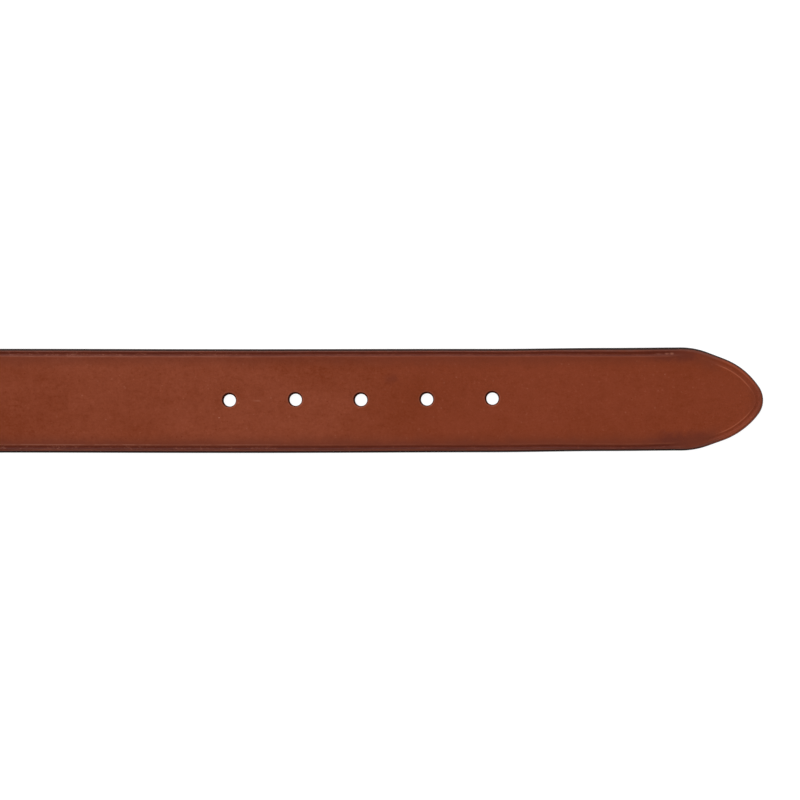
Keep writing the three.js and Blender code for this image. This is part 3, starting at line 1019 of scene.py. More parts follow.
class Nodes:
    """A new material and short names for the nodes that it uses, with places in millimetres."""

    def __init__(self, name):
        self.material = bpy.data.materials.new(name)
        self.material.use_nodes = True
        self.tree = self.material.node_tree
        coordinates = self.add("ShaderNodeTexCoord", {})
        self.place = self.vector("MULTIPLY", coordinates.outputs["Object"], (1 / MM, 1 / MM, 1 / MM))

    def link(self, value, socket):
        """Links a node's output to a socket, or sets the socket to a plain value."""
        if isinstance(value, bpy.types.NodeSocket):
            self.tree.links.new(value, socket)
        else:
            socket.default_value = value

    def add(self, kind, inputs, **settings):
        """A new node with its settings, and its inputs linked or set by their names or numbers."""
        node = self.tree.nodes.new(kind)
        for name, value in settings.items():
            setattr(node, name, value)
        for name, value in inputs.items():
            self.link(value, node.inputs[name])
        return node

    def math(self, operation, first, second=0.0):
        return self.add("ShaderNodeMath", {0: first, 1: second}, operation=operation).outputs[0]

    def vector(self, operation, first, second=(0, 0, 0)):
        node = self.add("ShaderNodeVectorMath", {0: first, 1: second}, operation=operation)
        return node.outputs["Value" if operation == "LENGTH" else "Vector"]

    def total(self, *values):
        return reduce(lambda first, second: self.math("ADD", first, second), values)

    def times(self, *values):
        return reduce(lambda first, second: self.math("MULTIPLY", first, second), values)

    def about_zero(self, value, width):
        """A value of 0 to 1 moved to lie about 0, and widened."""
        return self.times(self.math("SUBTRACT", value, 0.5), width)

    def between(self, value, low, high, low_out=0.0, high_out=1.0):
        """Eases from one value to another as the input goes from low to high."""
        if low > high:
            low, high, low_out, high_out = high, low, high_out, low_out
        inputs = {
            "Value": value, "From Min": low, "From Max": high, "To Min": low_out, "To Max": high_out,
        }
        node = self.add("ShaderNodeMapRange", inputs, interpolation_type="SMOOTHSTEP")
        return node.outputs["Result"]

    def band(self, value, middle, reach):
        """1 at the middle value, easing to 0 at reach to either side of it."""
        away = self.math("ABSOLUTE", self.math("SUBTRACT", value, middle))
        return self.between(away, reach, 0.0)

    def mark(self, name):
        return self.add("ShaderNodeAttribute", {}, attribute_name=name).outputs["Fac"]

    def axis(self, name):
        """One coordinate of the place: X, Y or Z."""
        return self.add("ShaderNodeSeparateXYZ", {0: self.place}).outputs[name]

    def stretched(self, x, y, z):
        """The place with its axes scaled, for streaks."""
        return self.vector("MULTIPLY", self.place, (x, y, z))

    def noise(self, size, detail=2.0, roughness=0.5, place=None, distortion=0.0):
        node = self.add("ShaderNodeTexNoise", {
            "Vector": self.place if place is None else place,
            "Scale": 1 / size,
            "Detail": detail,
            "Roughness": roughness,
            "Distortion": distortion,
        })
        return node.outputs["Fac"]

    def cells(self, size, feature="F1"):
        inputs = {"Vector": self.place, "Scale": 1 / size}
        return self.add("ShaderNodeTexVoronoi", inputs, feature=feature).outputs["Distance"]

    def mix(self, share, first, second):
        inputs = {"Factor": share, "A": first, "B": second}
        return self.add("ShaderNodeMix", inputs, data_type="RGBA").outputs["Result"]

    def patch(self, at, size, soft):
        """1 inside a ragged oval round a place given from the tip and the middle line, 0 outside it."""
        centre = (STRAP_HIGH[0] / MM - at[0], at[1], STRAP_THICK)
        away = self.vector("DIVIDE", self.vector("SUBTRACT", self.place, centre), (*size, PATCH_DEPTH))
        reach = self.total(self.vector("LENGTH", away), self.about_zero(self.noise(2.2, 3), 0.9))
        return self.between(reach, 1.0, soft)

    def bump(self, height, depth, after=None):
        """The normal of a relief of a depth in millimetres, on top of another's where one is given."""
        inputs = {"Strength": 1.0, "Distance": depth * MM, "Height": height}
        if after is not None:
            inputs["Normal"] = after
        return self.add("ShaderNodeBump", inputs).outputs["Normal"]

    def finish(self, inputs):
        """Links or sets the shader's inputs and hands the material over."""
        for name, value in inputs.items():
            self.link(value, self.tree.nodes["Principled BSDF"].inputs[name])
        return self.material


# Materials

def grain_relief(nodes):
    """Fine pebbled grain with pores and a few long wrinkles."""
    pebbles = nodes.cells(0.62, "SMOOTH_F1")
    fine = nodes.noise(0.28, 3, 0.6)
    wrinkles = nodes.noise(1.0, 4, 0.55, nodes.stretched(0.22, 0.5, 0.5), 0.8)
    pores = nodes.between(nodes.cells(1.15), 0.16, 0.05)
    return nodes.total(
        nodes.times(pebbles, -0.5),
        nodes.times(fine, 0.45),
        nodes.times(wrinkles, 0.6),
        nodes.times(pores, -0.3),
    )


def mottled(nodes, body, colours):
    """The leather's own colour: wide clouds, soft blotches, fine mottling, dark pores and pale flecks."""
    clouds = nodes.noise(34, 2, 0.5, nodes.stretched(0.5, 1, 1))
    blotches = nodes.noise(6.5, 4, 0.6, distortion=0.5)
    mottle = nodes.noise(2.1, 4, 0.65)
    fine = nodes.noise(0.8, 3, 0.7)
    pores = nodes.between(nodes.cells(2.1), 0.17, 0.05)
    streaks = nodes.noise(1.1, 3, 0.6, nodes.stretched(0.3, 0.9, 1), 0.9)
    dark = nodes.total(
        nodes.between(clouds, 0.36, 0.68, 0, 0.45),
        nodes.between(blotches, 0.4, 0.72, 0, 0.2),
        nodes.between(mottle, 0.38, 0.74, 0, 0.28),
        nodes.between(fine, 0.4, 0.75, 0, 0.38),
        nodes.between(streaks, 0.5, 0.7, 0, 0.22),
        nodes.times(pores, nodes.between(blotches, 0.42, 0.58), 0.95),
    )
    base = nodes.mix(dark, body, colours.mottle)
    specks = nodes.times(
        nodes.between(nodes.cells(2.9), 0.14, 0.06),
        nodes.between(blotches, 0.56, 0.42),
        nodes.between(fine, 0.62, 0.38),
        0.34,
    )
    hazy = nodes.times(nodes.between(fine, 0.42, 0.28), nodes.between(mottle, 0.5, 0.36), 0.22)
    return nodes.mix(nodes.math("MAXIMUM", specks, hazy), base, colours.fleck_and_highlight), mottle


class CreasedEdge:
    """The colours of a creased and dyed edge, by the way in from the outline in millimetres: its dye and
    burnish, a crease darkened partly by the iron and partly with painted shade, and painted highlights.

    Pressed is 1 where the crease is at its full depth, tip is 1 along the fine painted highlight line that
    follows the tip, and near is 1 from the holes to the tip.
    """

    def __init__(self, nodes, colours, pressed, tip, near):
        self.nodes = nodes
        self.colours = colours
        self.pressed = pressed
        self.tip = tip
        self.near = near
        self.inset = nodes.mark("from_edge")
        self.low_side = nodes.between(nodes.axis("Y"), *LOW_SIDE)
        # Noise that varies the edge's wear and the strength of its painted highlights and crease shade
        self.wear_and_sheen = nodes.noise(2.2, 4, 0.7, nodes.stretched(0.35, 1, 1))

    def paint(self, base):
        for coat in (self.burnish, self.groove_burnish_and_shade, self.flecks, self.lip_highlights, self.bevel, self.dye):
            base = coat(base)
        return base

    def burnish(self, base):
        """Rubbed leather inside the edge, with a wandering border."""
        nodes = self.nodes
        reach = nodes.total(self.inset, nodes.about_zero(nodes.noise(6, 3, 0.6), 3.4))
        coat_share = nodes.total(
            nodes.between(reach, 8.5, 3.0, 0, 0.5),
            nodes.times(nodes.between(reach, 5.6, 3.2, 0, 0.25), self.low_side),
        )
        coat_share = nodes.times(coat_share, nodes.math("SUBTRACT", 1.0, self.tip))
        return nodes.mix(coat_share, base, self.colours.burnish)

    def groove_burnish_and_shade(self, base):
        """The crease's dark bottom, partly the iron's burnish and partly painted shade, a little wider on
        the lower side and darkened there with more painted shade over the slope that faces the key light.
        """
        nodes = self.nodes
        outer = nodes.total(self.inset, nodes.about_zero(nodes.noise(22, 2), 1.4))
        inner = nodes.total(self.inset, nodes.times(self.low_side, 0.28))
        groove_burnish_and_shade = nodes.times(
            nodes.between(outer, *GROOVE_OUTSIDE),
            nodes.between(inner, *GROOVE_INSIDE),
            # Painted shade over the lower side's outer slope, which faces the key light
            nodes.total(1.0, nodes.times(self.low_side, nodes.band(self.inset, 1.4, 0.6), 0.42)),
        )
        press = nodes.times(self.pressed, nodes.between(self.wear_and_sheen, 0.72, 0.4, 0.7, 1.0))
        return nodes.mix(nodes.times(groove_burnish_and_shade, press, 0.72), base, self.colours.groove_burnish_and_shade)

    # Colour of the crease's painted highlights, darker from the holes to the tip
    def lip_highlight_colour(self):
        return self.nodes.mix(self.near, self.colours.lip_highlight, self.colours.lip_highlight_tip)

    def flecks(self, base):
        """Pale flecks in the crease, where its dye has come away."""
        nodes = self.nodes
        flecks = nodes.times(
            nodes.between(nodes.noise(0.6, 3, 0.7, nodes.stretched(0.6, 1, 1)), 0.53, 0.62),
            nodes.band(self.inset, 2.0, 1.5),
            nodes.between(self.wear_and_sheen, 0.42, 0.56),
            self.pressed,
            nodes.between(self.near, 0, 1, 0.6, 0.3),
        )
        return nodes.mix(flecks, base, self.lip_highlight_colour())

    def lip_highlights(self, base):
        """Painted highlights on the crease's raised inner side, and the fine painted highlight line that
        takes their place at the tip.
        """
        nodes = self.nodes
        lined = nodes.times(
            self.pressed,
            nodes.between(self.wear_and_sheen, 0.4, 0.6, 0.3, 0.85),
            nodes.between(self.low_side, 0, 1, 0.75, 1.15),
        )
        share = nodes.times(
            nodes.band(self.inset, LIP_AT, LINE_REACH), nodes.math("MAXIMUM", lined, self.tip)
        )
        return nodes.mix(share, base, nodes.mix(self.tip, self.lip_highlight_colour(), self.colours.tip_line_highlight))

    def bevel(self, base):
        """A painted highlight line on the edge's rounding, just inside its dye, a little stronger on the
        lower side and along the tip.
        """
        nodes = self.nodes
        # The strength of the painted highlight, greater on the lower side and at the tip
        coat_share = nodes.times(
            nodes.between(self.wear_and_sheen, 0.6, 0.4, 0.35, 0.75),
            nodes.between(self.low_side, 0, 1, 1, 1.2),
        )
        coat_share = nodes.math("MAXIMUM", coat_share, nodes.times(self.tip, 0.6))
        line = nodes.band(
            nodes.total(self.inset, nodes.times(self.low_side, 0.12)), BEVEL_AT, LINE_REACH
        )
        paint = nodes.mix(self.tip, self.colours.bevel, self.colours.tip_line_highlight)
        return nodes.mix(nodes.times(line, coat_share), base, paint)

    def dye(self, base):
        nodes = self.nodes
        dyed = nodes.between(nodes.total(self.inset, nodes.mark("undyed")), *DYE_EDGE)
        return nodes.mix(dyed, base, self.colours.edge)


def awl_holes(nodes, count):
    """1 in the pits where the thread dives into the leather, 0 elsewhere."""
    x, y = nodes.axis("X"), nodes.axis("Y")
    pitch = STITCH_SPAN / count
    rows = [nodes.math("ABSOLUTE", nodes.math("SUBTRACT", x, BAR_X + row)) for row in STITCH_ROWS]
    along = nodes.math("MINIMUM", *rows)
    across = nodes.math("PINGPONG", nodes.math("ADD", y, STITCH_SPAN / 2), pitch / 2)
    away = nodes.math("SQRT", nodes.total(nodes.times(along, along), nodes.times(across, across)))
    ends = (STITCH_SPAN / 2 + past for past in AWL_PAST)
    return nodes.times(
        nodes.between(away, *AWL_REACH), nodes.between(nodes.math("ABSOLUTE", y), *ends)
    )


def patched(nodes, base, rows, soft, paint):
    """The base with a ragged oval of another colour for each row of a table."""
    for row in rows:
        shape = nodes.patch(row["at"], row["size"], soft)
        base = nodes.mix(nodes.times(shape, row["share"]), base, paint)
    return base


def leather_roughness(nodes, mottle, inset):
    """Half matt, and a little smoother on the polished edge."""
    return nodes.total(0.36, nodes.about_zero(mottle, 0.24), nodes.between(inset, 0.9, 0.3, 0, -0.1))


def strap_grain(name, colours, grain, stitches):
    """The strap's grain side, with what its wear, punching and sewing left on it, and painted light and
    shade.
    """
    nodes = Nodes(name)
    from_tip = nodes.mark("from_tip")
    # Painted shade: the leather darkens from the holes to the tip, standing in for light falling off there
    body = nodes.mix(nodes.between(from_tip, *BODY_SHADE_CHANGE), colours.body, colours.body_tip_shaded)
    base, mottle = mottled(nodes, body, colours)
    base = patched(nodes, base, SHOULDER_PATCHES, 0.1, colours.shoulder)
    edge = CreasedEdge(
        nodes, colours,
        pressed=nodes.total(
            nodes.between(from_tip, *CREASE_FROM), nodes.between(from_tip, *FAINT_BEFORE, 0, 0.15)
        ),
        tip=nodes.times(
            nodes.between(from_tip, *TIP_LINE_BEFORE), nodes.between(from_tip, *TIP_LINE_FROM, 0.35, 1)
        ),
        near=nodes.between(from_tip, *LIP_HIGHLIGHT_CHANGE),
    )
    base = edge.paint(base)
    rim = nodes.mark("rim")
    # Painted highlight: a faint pale ring on the raised rim round each hole and the slot
    base = nodes.mix(nodes.times(nodes.band(rim, 0.78, 0.28), 0.16), base, colours.fleck_and_highlight)
    base = nodes.mix(nodes.between(rim, 0.5, 0.3), base, colours.wall)
    # Pale scuffs, the three by the tip being painted glints where the crease ends
    base = patched(nodes, base, SCUFFS_AND_GLINTS, 0.0, colours.fleck_and_highlight)
    pits = awl_holes(nodes, stitches)
    return nodes.finish({
        # Painted shade: the awl pits darkened with the edge's dark colour, beside their bump
        "Base Color": nodes.mix(nodes.times(pits, 0.9), base, colours.edge),
        "Roughness": leather_roughness(nodes, mottle, edge.inset),
        "Specular IOR Level": LEATHER_SPECULAR,
        "Normal": nodes.bump(
            nodes.times(pits, -1.0), AWL_DEPTH, after=nodes.bump(grain_relief(nodes), grain / MM)
        ),
    })


def keeper_grain(name, colours, grain):
    """The keeper's leather, creased and dyed as the strap's is, with the same painted shade and highlights
    at its crease.
    """
    nodes = Nodes(name)
    base, mottle = mottled(nodes, colours.body, colours)
    edge = CreasedEdge(nodes, colours, pressed=0.85, tip=0.0, near=0.0)
    return nodes.finish({
        "Base Color": edge.paint(base),
        "Roughness": leather_roughness(nodes, mottle, edge.inset),
        "Specular IOR Level": LEATHER_SPECULAR,
        "Normal": nodes.bump(grain_relief(nodes), grain / MM),
    })


def raw_leather(name, colours):
    """The matt, dark wall of a punched hole, with the ends of its fibres."""
    nodes = Nodes(name)
    fibres = nodes.noise(0.35, 4, 0.7, nodes.stretched(1, 1, 0.4))
    return nodes.finish({
        "Base Color": nodes.mix(nodes.between(fibres, 0.35, 0.7, 0, 0.4), colours.wall, colours.edge),
        "Roughness": 0.95,
        "Specular IOR Level": 0.0,
        "Normal": nodes.bump(fibres, 0.08),
    })


def flesh_leather(name, colours):
    """The suede underside: pale, matt and brushed, with loose fibres."""
    nodes = Nodes(name)
    fibres = nodes.noise(0.5, 5, 0.7, nodes.stretched(0.35, 1, 1), 0.6)
    nap = nodes.noise(8, 3, 0.6)
    dark = nodes.total(nodes.between(fibres, 0.35, 0.75, 0, 0.5), nodes.between(nap, 0.4, 0.75, 0, 0.35))
    height = nodes.total(fibres, nodes.times(nodes.noise(0.22, 2), 0.6))
    return nodes.finish({
        "Base Color": nodes.mix(dark, colours.flesh, colours.mottle),
        "Roughness": 0.92,
        "Specular IOR Level": 0.2,
        "Sheen Weight": 0.3,
        "Sheen Roughness": 0.5,
        "Normal": nodes.bump(height, 0.12),
    })


def waxed_thread(name, colours):
    """Twisted thread: slanting plies lit and shaded along each stitch."""
    nodes = Nodes(name)
    slant = (0, 0, math.radians(PLY_ANGLE))
    turned = nodes.add("ShaderNodeMapping", {"Vector": nodes.place, "Rotation": slant})
    wave = nodes.add("ShaderNodeTexWave", {
        "Vector": turned.outputs["Vector"], "Scale": 1.6, "Distortion": 0.6,
    })
    plies = wave.outputs["Fac"]
    shade = nodes.total(0.25, nodes.times(plies, 0.45), nodes.times(nodes.noise(0.3, 3), 0.3))
    return nodes.finish({
        "Base Color": nodes.mix(shade, colours.burnish, colours.thread),
        "Roughness": 0.55,
        "Specular IOR Level": 0.3,
        "Normal": nodes.bump(plies, 0.1),
    })


def satin_metal(name, colours):
    """Satin nickel: an even, very fine blasted surface with soft clouds of handling."""
    nodes = Nodes(name)
    clouds = nodes.noise(7, 3, 0.55)
    return nodes.finish({
        "Base Color": nodes.mix(
            nodes.between(clouds, 0.35, 0.75, 0, 0.3), colours.metal, colours.metal_cloud
        ),
        "Roughness": nodes.between(clouds, 0.35, 0.7, 0.24, 0.33),
        "Metallic": 1.0,
        "Normal": nodes.bump(nodes.noise(0.11, 2, 0.6), 0.004),
    })


# Sections and what is swept along a path

def swept(shell, path, sections, closed=False, marks=None):
    """Joins sections along a path; a step of the path is a place and the two directions across it."""
    marks = marks or [{}] * len(sections[0])
    rings = []
    for (place, side, up), section in zip(path, sections):
        ring = []
        for (a, b), given in zip(section, marks):
            ring.append(shell.point(place + side * a + up * b, **given))
        rings.append(ring)
    for first, second in zip(rings, rings[1:]):
        shell.strip(first, second, closed=True)
    if closed:
        shell.strip(rings[-1], rings[0], closed=True)
    else:
        shell.face(rings[0])
        shell.face(rings[-1])


def circle(radius, sides):
    angles = [math.tau * side / sides for side in range(sides)]
    return [(radius * math.cos(angle), radius * math.sin(angle)) for angle in angles]


def rounded_section(width, height, corner):
    """The outline of a bar with rounded corners, against the clock."""
    points = []
    for quarter, (sign_a, sign_b) in enumerate(((1, 1), (-1, 1), (-1, -1), (1, -1))):
        for step in range(ROUNDING_STEPS + 1):
            angle = math.pi / 2 * (quarter + step / ROUNDING_STEPS)
            a = sign_a * (width / 2 - corner) + corner * math.cos(angle)
            b = sign_b * (height / 2 - corner) + corner * math.sin(angle)
            points.append((a, b))
    return points


def arc(centre, radius, start, end, steps):
    """Places on an arc in a plane, angles in degrees."""
    angles = [math.radians(blend(start, end, step / steps)) for step in range(steps + 1)]
    return [Vector((centre[0] + radius * math.cos(a), centre[1] + radius * math.sin(a))) for a in angles]


def ahead_at(line, index):
    """The direction of a line at one of its places."""
    return (line[min(index + 1, len(line) - 1)] - line[max(index - 1, 0)]).normalized()


# Buckle

def hang_on_bar(shell):
    """Moves what is made level about the bar into the frame, tilted so that the front bar lies down."""
    reach = BAR_TO_FRONT + ARM_WIDTH / 2 - FRAME_FOOT_INSET
    depth = FRAME_HEIGHT / 2
    tilt = math.asin(BAR_HEIGHT / math.hypot(reach, depth)) - math.atan2(depth, reach)
    turn = Matrix.Rotation(-tilt, 3, "Y")
    shell.points = [belt_place(*(turn @ place + Vector((0, 0, BAR_HEIGHT)))) for place in shell.points]


def frame_line():
    """The middle line of the two arms and the front bar, from one arm's end to the other's."""
    arm = WINDOW_WIDTH / 2 + ARM_WIDTH / 2
    corner = (-BAR_TO_FRONT + CORNER_RADIUS, arm - CORNER_RADIUS)
    back = ARM_BEHIND_BAR - ARM_WIDTH / 2
    straight = [Vector((x, arm)) for x in spread(back, corner[0], FRAME_SPACING)]
    turned = arc(corner, CORNER_RADIUS, 90, 180, CORNER_STEPS)
    front = [Vector((-BAR_TO_FRONT, y)) for y in spread(corner[1], 0, FRAME_SPACING)][1:]
    half = straight + turned + front
    mirrored = [Vector((place.x, -place.y)) for place in reversed(half)]
    return half + [Vector((-BAR_TO_FRONT, 0))] + mirrored


def arm_cap(place, ahead, sign):
    """Steps that round an arm's end off, from its very end inwards: place, direction and size."""
    steps = []
    for step in range(CAP_STEPS):
        angle = math.pi / 2 * (1 - step / CAP_STEPS)
        out = sign * ARM_WIDTH / 2 * math.sin(angle)
        steps.append((place + ahead * out, ahead, max(math.cos(angle), CAP_LEAST)))
    return steps


def build_frame(material):
    """The buckle's frame and its heel bar as one body."""
    line = frame_line()
    steps = [(place, ahead_at(line, index), 1.0) for index, place in enumerate(line)]
    steps = arm_cap(*steps[0][:2], -1) + steps + arm_cap(*steps[-1][:2], 1)[::-1]
    up = Vector((0, 0, 1))
    path = [(place.to_3d(), Vector((-ahead.y, ahead.x, 0)), up) for place, ahead, _ in steps]
    section = rounded_section(ARM_WIDTH, FRAME_HEIGHT, FRAME_ROUNDING)
    shell = Shell(())
    swept(shell, path, [
        [(a * size, b * blend(CAP_FLATNESS, 1.0, size)) for a, b in section] for *_, size in steps
    ])
    hang_on_bar(shell)
    piece = shell.build("buckle_frame", [material], FRAME_SHARP)
    reach = WINDOW_WIDTH / 2 + BAR_IN_ARM
    path = [(Vector((0, share * reach, 0)), Vector((1, 0, 0)), up) for share in (-1, -0.5, 0, 0.5, 1)]
    bar = Shell(())
    swept(bar, path, [circle(BAR_RADIUS, BAR_SIDES)] * len(path))
    hang_on_bar(bar)
    join_bodies(piece, bar.build("heel_bar", [material], FRAME_SHARP))
    return piece


def take_modified_mesh(piece):
    """Gives a piece the mesh that its modifiers make."""
    shape = bpy.data.meshes.new_from_object(piece.evaluated_get(bpy.context.evaluated_depsgraph_get()))
    piece.modifiers.clear()
    old = piece.data
    shape.name = old.name
    piece.data = shape
    bpy.data.meshes.remove(old)


def join_bodies(piece, other):
    """Unites two closed bodies into the first and drops the second."""
    union = piece.modifiers.new("union", "BOOLEAN")
    union.operation = "UNION"
    union.solver = "EXACT"
    union.object = other
    take_modified_mesh(piece)
    bpy.data.objects.remove(other)
    finish_mesh(piece.data, FRAME_SHARP)


def even_shading(piece):
    """Lets the flat faces set the normals, so that only the rounded edges between them bend the light."""
    weighted = piece.modifiers.new("weighted normals", "WEIGHTED_NORMAL")
    weighted.keep_sharp = True
    take_modified_mesh(piece)


def prong_line():
    """The prong's middle line and its thickness there, round the bar and then along the shank."""
    inner = BAR_RADIUS + PRONG_PLAY
    strip = PRONG_LOOP_RADIUS - inner
    radius = inner + strip / 2
    loop = arc((0, 0), radius, PRONG_LOOP_START, 90, PRONG_LOOP_STEPS)
    line = [(Vector((place.x, 0, place.y)), strip) for place in loop]
    reach = PRONG_POINT_WIDTH / 2 + PRONG_END_SHORT - BAR_TO_FRONT - ARM_WIDTH / 2
    end = Vector((reach, 0, FRAME_HEIGHT / 2 + PRONG_END_LIFT))
    for step in range(1, PRONG_SHANK_STEPS + 1):
        share = step / PRONG_SHANK_STEPS
        z = blend(radius, end.z, smooth(0, 1, share)) - PRONG_SAG * math.sin(math.pi * share)
        thick = blend(strip, PRONG_THICK, smooth(0, PRONG_THICK_BY, share))
        line.append((Vector((end.x * share, 0, z)), thick * blend(1, PRONG_THINNING, share)))
    return line


def build_prong(material):
    """The prong: a strip wrapped round the bar, then a shank that tapers to a round end."""
    line = prong_line()
    places = [place for place, _ in line]
    side = Vector((0, 1, 0))
    path = []
    sizes = []
    for index, (place, thick) in enumerate(line):
        ahead = ahead_at(places, index)
        path.append((place, side, ahead.cross(side)))
        share = min(max(place.x / places[-1].x, 0), 1)
        sizes.append((blend(PRONG_WIDTH, PRONG_POINT_WIDTH, share), thick))
    last, _, up = path[-1]
    width, thick = sizes[-1]
    for step in range(1, PRONG_CAP_STEPS + 1):
        angle = math.radians(PRONG_CAP_ANGLE) * step / PRONG_CAP_STEPS
        out = ahead * (PRONG_POINT_WIDTH / 2) * math.sin(angle)
        drop = PRONG_CAP_DROP * (1 - math.cos(angle))
        path.append((last + out - up * drop, side, up))
        sizes.append((width * math.cos(angle), thick * blend(1, math.cos(angle), PRONG_CAP_THINNING)))
    shell = Shell(())
    swept(shell, path, [rounded_section(*size, PRONG_ROUNDING * min(size)) for size in sizes])
    hang_on_bar(shell)
    return shell.build("buckle_prong", [material], ROUND_SHARP)


# Keeper

def keeper_line():
    """The inside of the keeper's loop as (across, height), against the clock and in short steps."""
    side = KEEPER_INSIDE_WIDTH / 2 - KEEPER_CORNER
    low = KEEPER_FLOOR + KEEPER_CORNER
    high = KEEPER_CEILING - KEEPER_CORNER
    turned = []
    for quarter, centre in enumerate(((side, low), (side, high), (-side, high), (-side, low))):
        start = 90 * (quarter - 1)
        turned += arc(centre, KEEPER_CORNER, start, start + 90, KEEPER_CORNER_STEPS)
    line = []
    for here, after in zip(turned, turned[1:] + turned[:1]):
        count = max(round((after - here).length / KEEPER_SPACING), 1)
        line += [here.lerp(after, step / count) for step in range(count)]
    return line


def keeper_corners():
    """The corners of the keeper's section: the side, the way in, the depth and the material's mark."""
    half = [(inset, 0, KEEPER_FLAT_MARK) for inset in KEEPER_FLAT_INSETS]
    for row in KEEPER_EDGE:
        mark = row["inset"] - row["drop"] + KEEPER_MARK_SHIFT
        half.append((row["inset"], row["drop"] + row["crease"], mark))
    return [(1, *row) for row in half] + [(-1, *row) for row in reversed(half[1:])]


def build_keeper(material):
    """The keeper: a leather band round the top layer, thinner where it passes under."""
    corners = keeper_corners()
    line = keeper_line()
    path = []
    sections = []
    for index, place in enumerate(line):
        ahead = (line[(index + 1) % len(line)] - line[index - 1]).normalized()
        on_top = place.y > (KEEPER_CEILING + KEEPER_FLOOR) / 2
        aside = abs(place.x) / (KEEPER_INSIDE_WIDTH / 2)
        arch = KEEPER_ARCH * smooth(1, 0, aside) if on_top else 0.0
        centre = Vector((KEEPER_FROM_BAR, place.x, place.y + arch))
        path.append((centre, Vector((1, 0, 0)), Vector((0, ahead.y, -ahead.x))))
        wall = blend(KEEPER_WALL, KEEPER_UNDER, smooth(KEEPER_EASE, 0.0, place.y - KEEPER_FLOOR))
        scale = wall / KEEPER_WALL
        sections.append([
            (side * (KEEPER_LENGTH / 2 - inset), wall - depth * scale)
            for side, inset, depth, _ in corners
        ])
    shell = Shell(("from_edge",))
    swept(shell, path, sections, closed=True, marks=[{"from_edge": mark} for *_, mark in corners])
    shell.points = [belt_place(*place) for place in shell.points]
    return shell.build("keeper_leather", [material])


# Stitches

def sew(shell, way, middle, half, radius):
    """Adds one stitch, proud of the leather at its middle, and thinner where its ends dive in."""
    slant = random.uniform(-STITCH_SLANT, STITCH_SLANT)
    path = []
    sections = []
    for step in range(STITCH_STEPS + 1):
        share = blend(-1, 1, step / STITCH_STEPS)
        proud = radius * STITCH_PROUD["by"] * (1 - abs(share) ** STITCH_PROUD["power"])
        dive = radius * STITCH_DIVE["by"] * abs(share) ** STITCH_DIVE["power"]
        place = Vector((way + slant * share, middle + share * half, thickness(way) + (proud - dive)))
        path.append((place, Vector((1, 0, 0)), Vector((0, 0, 1))))
        size = radius * (1 - STITCH_THINNING["by"] * abs(share) ** STITCH_THINNING["power"])
        sections.append(circle(size, STITCH_SIDES))
    swept(shell, path, sections)


def build_stitches(material, count, thread):
    """Both rows of stitches, as they show on the top layer and under the tail."""
    random.seed(STITCH_SEED)
    shell = Shell(())
    pitch = STITCH_SPAN / count
    for row in STITCH_ROWS:
        for way in (row, -FOLD_ARC - row):
            for index in range(count):
                middle = -STITCH_SPAN / 2 + (index + 0.5) * pitch
                sew(shell, way, middle, pitch / 2 - STITCH_GAP, thread / MM / 2)
    shell.points = [bend(*place) for place in shell.points]
    return shell.build("stitches", [material], ROUND_SHARP)


# Operators

class BELT_OT_strap(bpy.types.Operator):
    """Build the strap with its tip, holes, creases and fold"""

    bl_idname = "belt.strap"
    bl_label = "Strap"

    def execute(self, context):
        sizes, colours = context.scene.belt_sizes, context.scene.belt_colours
        materials = [
            strap_grain("strap grain side", colours, sizes.grain, sizes.stitches),
            flesh_leather("strap flesh side", colours),
            raw_leather("punched wall", colours),
        ]
        piece = StrapBuilder(sizes.swell).build(materials)
        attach(piece, ROOT)
        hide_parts("strap")
        return {"FINISHED"}


class BELT_OT_stitches(bpy.types.Operator):
    """Sew the two rows that close the fold"""

    bl_idname = "belt.stitches"
    bl_label = "Stitches"

    def execute(self, context):
        sizes, colours = context.scene.belt_sizes, context.scene.belt_colours
        piece = build_stitches(waxed_thread("waxed thread", colours), sizes.stitches, sizes.thread)
        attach(piece, ROOT)
        return {"FINISHED"}


class BELT_OT_buckle(bpy.types.Operator):
    """Build the buckle's frame with its heel bar, and the prong"""

    bl_idname = "belt.buckle"
    bl_label = "Buckle"

    def execute(self, context):
        metal = satin_metal("satin nickel", context.scene.belt_colours)
        for piece in (build_frame(metal), build_prong(metal)):
            even_shading(piece)
            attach(piece, ROOT)
            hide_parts("buckle")
        return {"FINISHED"}


class BELT_OT_keeper(bpy.types.Operator):
    """Build the leather keeper"""

    bl_idname = "belt.keeper"
    bl_label = "Keeper"

    def execute(self, context):
        sizes, colours = context.scene.belt_sizes, context.scene.belt_colours
        piece = build_keeper(keeper_grain("keeper grain side", colours, sizes.grain))
        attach(piece, ROOT)
        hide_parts("keeper")
        return {"FINISHED"}


class BELT_OT_stage(bpy.types.Operator):
    """Lay the floor and set the lights and the camera"""

    bl_idname = "belt.stage"
    bl_label = "Stage"

    def execute(self, context):
        stage = context.scene.belt_stage
        build_floor(stage)
        build_lights(context.scene, stage)
        build_camera(context.scene)
        return {"FINISHED"}


def build_floor(stage):
    """A pale, matt table top that gives light of its own."""
    reach = stage.floor
    mesh = bpy.data.meshes.new("floor")
    corners = [(-reach, -reach, 0), (reach, -reach, 0), (reach, reach, 0), (-reach, reach, 0)]
    mesh.from_pydata(corners, [], [(0, 1, 2, 3)])
    material = bpy.data.materials.new("pale table")
    material.use_nodes = True
    shader = material.node_tree.nodes["Principled BSDF"]
    shader.inputs["Base Color"].default_value = (0.2, 0.2, 0.2, 1)
    shader.inputs["Roughness"].default_value = 0.9
    shader.inputs["Specular IOR Level"].default_value = 0.1
    shader.inputs["Emission Color"].default_value = (1, 1, 1, 1)
    shader.inputs["Emission Strength"].default_value = stage.glow
    mesh.materials.append(material)
    floor = bpy.data.objects.new("floor", mesh)
    bpy.context.scene.collection.objects.link(floor)


